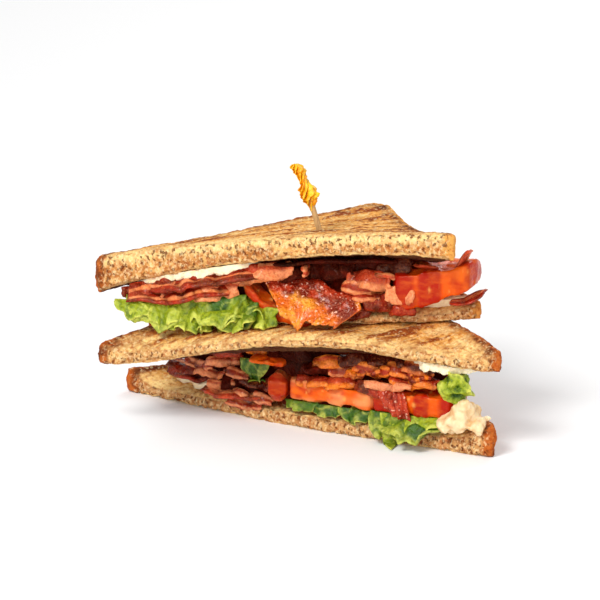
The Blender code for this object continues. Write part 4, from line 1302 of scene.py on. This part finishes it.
def make_spread(node, bread, on_top, edge, material, seed):
    """A film on a slice that ends in an uneven bead along the cut."""
    cad = NODES[bread].data
    tree = tree_of(cad)
    plan = points_of(cad)[:, :2]
    left = plan[plan[:, 0].argmin()]
    right = plan[plan[:, 0].argmax()]
    back = plan[(plan @ np.array([0.25, 1.0])).argmax()]
    centre = (left + right + back) / 3.0
    along_way = (right - left) / np.linalg.norm(right - left)
    inward = np.array([-along_way[1], along_way[0]])
    if (back - left) @ inward < 0.0:
        inward = -inward
    along, depth = grid(*SPREAD_GRID)
    depth = depth ** 1.8
    stops, retreats, beads = np.array(edge).T
    margin = SPREAD_EDGE / np.linalg.norm(right - left)
    first, last = max(margin, stops[0]), min(1.0 - margin, stops[-1])
    share = first + (last - first) * along
    front = shifted(left, (share, right - left))
    level = np.zeros((*along.shape, 1))
    wander = 0.9 * rough(np.concatenate([front, level], axis=2), 7.0, seed)
    retreat = np.interp(share, stops, retreats) + wander
    start = shifted(front, (retreat, inward))
    stop = shifted(start, (SPREAD_DEPTH * ease(np.minimum(share, 1.0 - share), 0.0, 0.3), inward))
    spots = shifted(start, (depth, stop - start))
    reach = np.linalg.norm(spots - start, axis=2)
    bead = np.interp(share, stops, beads) * np.exp(-(reach / BEAD_REACH) ** 2)
    lumps = rough(np.concatenate([spots, level], axis=2), 3.2, seed + 1)
    depth_here = (SPREAD_THIN + bead * (0.8 + 0.6 * lumps)).clip(0.3)
    middle = np.concatenate([spots, level], axis=2)
    for place in np.ndindex(along.shape):
        hit = struck(tree, spots[place], centre, SPREAD_PULLS, on_top)
        if hit is not None:
            middle[place] = hit
    middle[..., 2] += (1.0 if on_top else -1.0) * (0.1 + depth_here / 2.0)
    rim = rounded_rim(along, depth, 150.0, 60.0, 1.0)
    mesh = sheet_mesh(node + "_spread", middle, depth_here * rim)
    points = points_of(mesh)
    piece = new_piece(node + "_spread", mesh, material, "mayonnaise", node)
    stain_and_shade = ease(rough(points, 4.0, seed + 2), -0.1, 0.9) * 0.5
    thick = both(ease(bead, 0.7, 1.2))
    # on top of a slice the thin film takes the toast's colour; under a slice it takes the painted shade
    # of the underside
    thin = mix(GOLD, STREAK, 0.5) if on_top else UNDERSIDE_SHADE
    paint(piece, mix(thin, mix(MAYO, MAYO_WARM, stain_and_shade), 0.06 + 0.94 * thick))


def make_mayo():
    material = mayo_material()
    for index, (node, bread, on_top, edge) in enumerate(SPREADS):
        make_spread(node, bread, on_top, edge, material, 4000 + 30 * index)
    make_dollop(material)


DOLLOP_LUMPS = 40
DOLLOP_VOXEL = 0.45
DOLLOP_SPAN = np.array([13.5, 6.5, 10.5])    # room for the middles of its lumps
DOLLOP_SHIFT = np.array([-5.0, 1.0, 0.0])    # from the CAD lump's foot to the dollop's


def make_dollop(material):
    """The mayonnaise squeezed out at the right of the lower half."""
    node = "mayo_lump"
    low, high = box_of(node)
    foot = np.array([(low[0] + high[0]) / 2.0, (low[1] + high[1]) / 2.0, low[2]])
    shape = bmesh.new()
    for lump in range(DOLLOP_LUMPS):
        x, y, z = (lattice(np.array([lump, axis, 3]), 4250) - 0.5 for axis in range(3))
        lower = 1.0 - 1.3 * abs(x - 0.18)
        spot = DOLLOP_SPAN * [x, y - 0.4 * x, (z + 0.5) * lower]
        radius = (2.1 + 1.5 * lattice(np.array([lump, 3, 3]), 4250)) * MM
        ball = bmesh.ops.create_icosphere(shape, subdivisions=3, radius=radius)["verts"]
        bmesh.ops.translate(shape, verts=ball, vec=Vector((foot + DOLLOP_SHIFT + spot) * MM))
    mesh = evened(mesh_of("dollop", shape), DOLLOP_VOXEL, 12)
    points = points_of(mesh)
    normals = normals_of(mesh)
    lumps = 0.7 * rough(points, 4.4, 4200) + 0.5 * rough(points, 2.0, 4210)
    set_points(mesh, points + normals * (1.1 * lumps)[:, None])
    piece = new_piece(node + "_spread", mesh, material, "mayonnaise", node)
    # darker tan where the surface lies low between the lumps: painted shade in the hollows, with some
    # random stain
    stain_and_shade = ease(rough(points, 2.6, 4220) - lumps, -0.4, 0.9)
    paint(piece, mix(linear(246, 218, 172), linear(206, 150, 80), 0.8 * stain_and_shade))


# ---- pick
# The paper frill's radius in millimetres at shares of its height
FRILL_SHAPE = ((0.0, 0.9), (0.12, 1.3), (0.30, 3.6), (0.42, 3.2), (0.58, 1.7), (0.70, 1.5),
               (0.82, 2.4), (0.93, 2.6), (1.0, 1.2))
FRILL_BLADES = 7
FRILL_TWIST = 0.9                 # turns of a blade from foot to tip
FRILL_BEND = 3.2                  # how far its tip bends to the left
LEFTWARD = np.array([-1.0, 0.0, 0.0])
BLADE_THICK = 0.28


def make_pick():
    node = "pick_stick"
    mesh = refined(node, 0.35, 3)
    piece = new_piece(node + "_piece", mesh, wood_material(), "pick_wood", node)
    paint(piece, np.tile(linear(206, 168, 112), (len(mesh.vertices), 1)))
    make_frill()


def make_frill():
    """Crinkled paper blades twisted round the top of the stick."""
    node = "frill"
    cad = points_of(NODES[node].data)
    foot = cad[cad[:, 2] < cad[:, 2].min() + 1.0].mean(0)
    tip = cad[cad[:, 2] > cad[:, 2].max() - 1.0].mean(0)
    axis = (tip - foot) / np.linalg.norm(tip - foot)
    side = np.cross(axis, [0.0, 1.0, 0.0])
    side /= np.linalg.norm(side)
    other = np.cross(axis, side)
    stops, radii = np.array(FRILL_SHAPE).T
    parts = []
    along, across = grid(70, 9)
    for blade in range(FRILL_BLADES):
        seed = 7000 + 10 * blade
        marker = np.stack([along * 20.0, across * 3.0, np.full(along.shape, blade * 9.0)], axis=2)
        crinkle = rough(marker, 2.2, seed)
        jag = rough(marker * [1.0, 0.0, 1.0], 1.6, seed + 3)
        reach = np.interp(along, stops, radii) * across * (1.0 + 0.45 * jag * across)
        turn = 2.0 * math.pi * (blade / FRILL_BLADES + FRILL_TWIST * along)
        turn = turn + 0.55 * crinkle + 0.8 * across ** 2
        middle = shifted(foot, (along, tip - foot), (FRILL_BEND * along ** 2, LEFTWARD),
                         (reach * np.cos(turn), side), (reach * np.sin(turn), other),
                         (0.5 * crinkle * across, axis))
        mesh = sheet_mesh("blade", middle, np.full(along.shape, BLADE_THICK))
        shade = ease(both(crinkle), -0.6, 0.6)
        parts.append((mesh, mix(linear(250, 160, 0), linear(255, 208, 30), shade)))
    joined(node + "_piece", parts, paper_material(), "frill_paper", node)


# ---- stage
VIEW_ELEVATION = math.radians(17.0)
VIEW_TARGET = Vector((1.2, -9.1, 50.0)) * MM
VIEW_DISTANCE = 3.0
VIEW_WIDTH = 0.233                # width of the view at the target
SENSOR = 36.0
FLOOR_CORNERS = [(-30000, -30000, 0), (30000, -30000, 0), (30000, 30000, 0), (-30000, 30000, 0)]
SKY_STRENGTH = 0.52
# name, place in metres, size in metres, power
LAMPS = (
    ("key", (-0.45, -0.65, 0.85), 0.38, 8.5),
    ("fill", (0.80, -0.70, 0.35), 0.70, 2.6),
    ("front", (-0.30, -1.10, 0.22), 0.60, 2.4),
    ("back", (0.30, 0.80, 0.70), 0.50, 3.0),
)


def make_stage():
    scene = bpy.context.scene
    scene.view_settings.view_transform = "Standard"
    camera = bpy.data.objects.new("camera", bpy.data.cameras.new("camera"))
    scene.collection.objects.link(camera)
    camera.data.sensor_width = SENSOR
    camera.data.lens = SENSOR * VIEW_DISTANCE / VIEW_WIDTH
    camera.data.clip_end = 20.0
    camera.location = VIEW_TARGET + VIEW_DISTANCE * Vector(
        (0.0, -math.cos(VIEW_ELEVATION), math.sin(VIEW_ELEVATION)))
    camera.rotation_euler = (math.pi / 2.0 - VIEW_ELEVATION, 0.0, 0.0)
    scene.camera = camera

    floor = bpy.data.objects.new("floor", write_mesh("floor", FLOOR_CORNERS, [(0, 1, 2, 3)]))
    scene.collection.objects.link(floor)
    look = Look("floor_look", 0.9)
    floor.data.materials.append(look.done())
    paint(floor, np.tile(linear(252, 252, 252), (4, 1)))

    world = bpy.data.worlds.new("studio")
    scene.world = world
    world.use_nodes = True
    sky = world.node_tree.nodes["Background"].inputs
    sky["Color"].default_value = (1.0, 1.0, 1.0, 1.0)
    sky["Strength"].default_value = SKY_STRENGTH
    for name, place, size, power in LAMPS:
        lamp = bpy.data.objects.new(name, bpy.data.lights.new(name, "AREA"))
        lamp.data.size = size
        lamp.data.energy = power
        lamp.location = place
        lamp.rotation_euler = (VIEW_TARGET - Vector(place)).to_track_quat("-Z", "Y").to_euler()
        scene.collection.objects.link(lamp)


def main():
    make_stage()
    make_all_bread()
    make_bacon()
    make_tomatoes()
    make_lettuce()
    make_mayo()
    make_pick()


main()
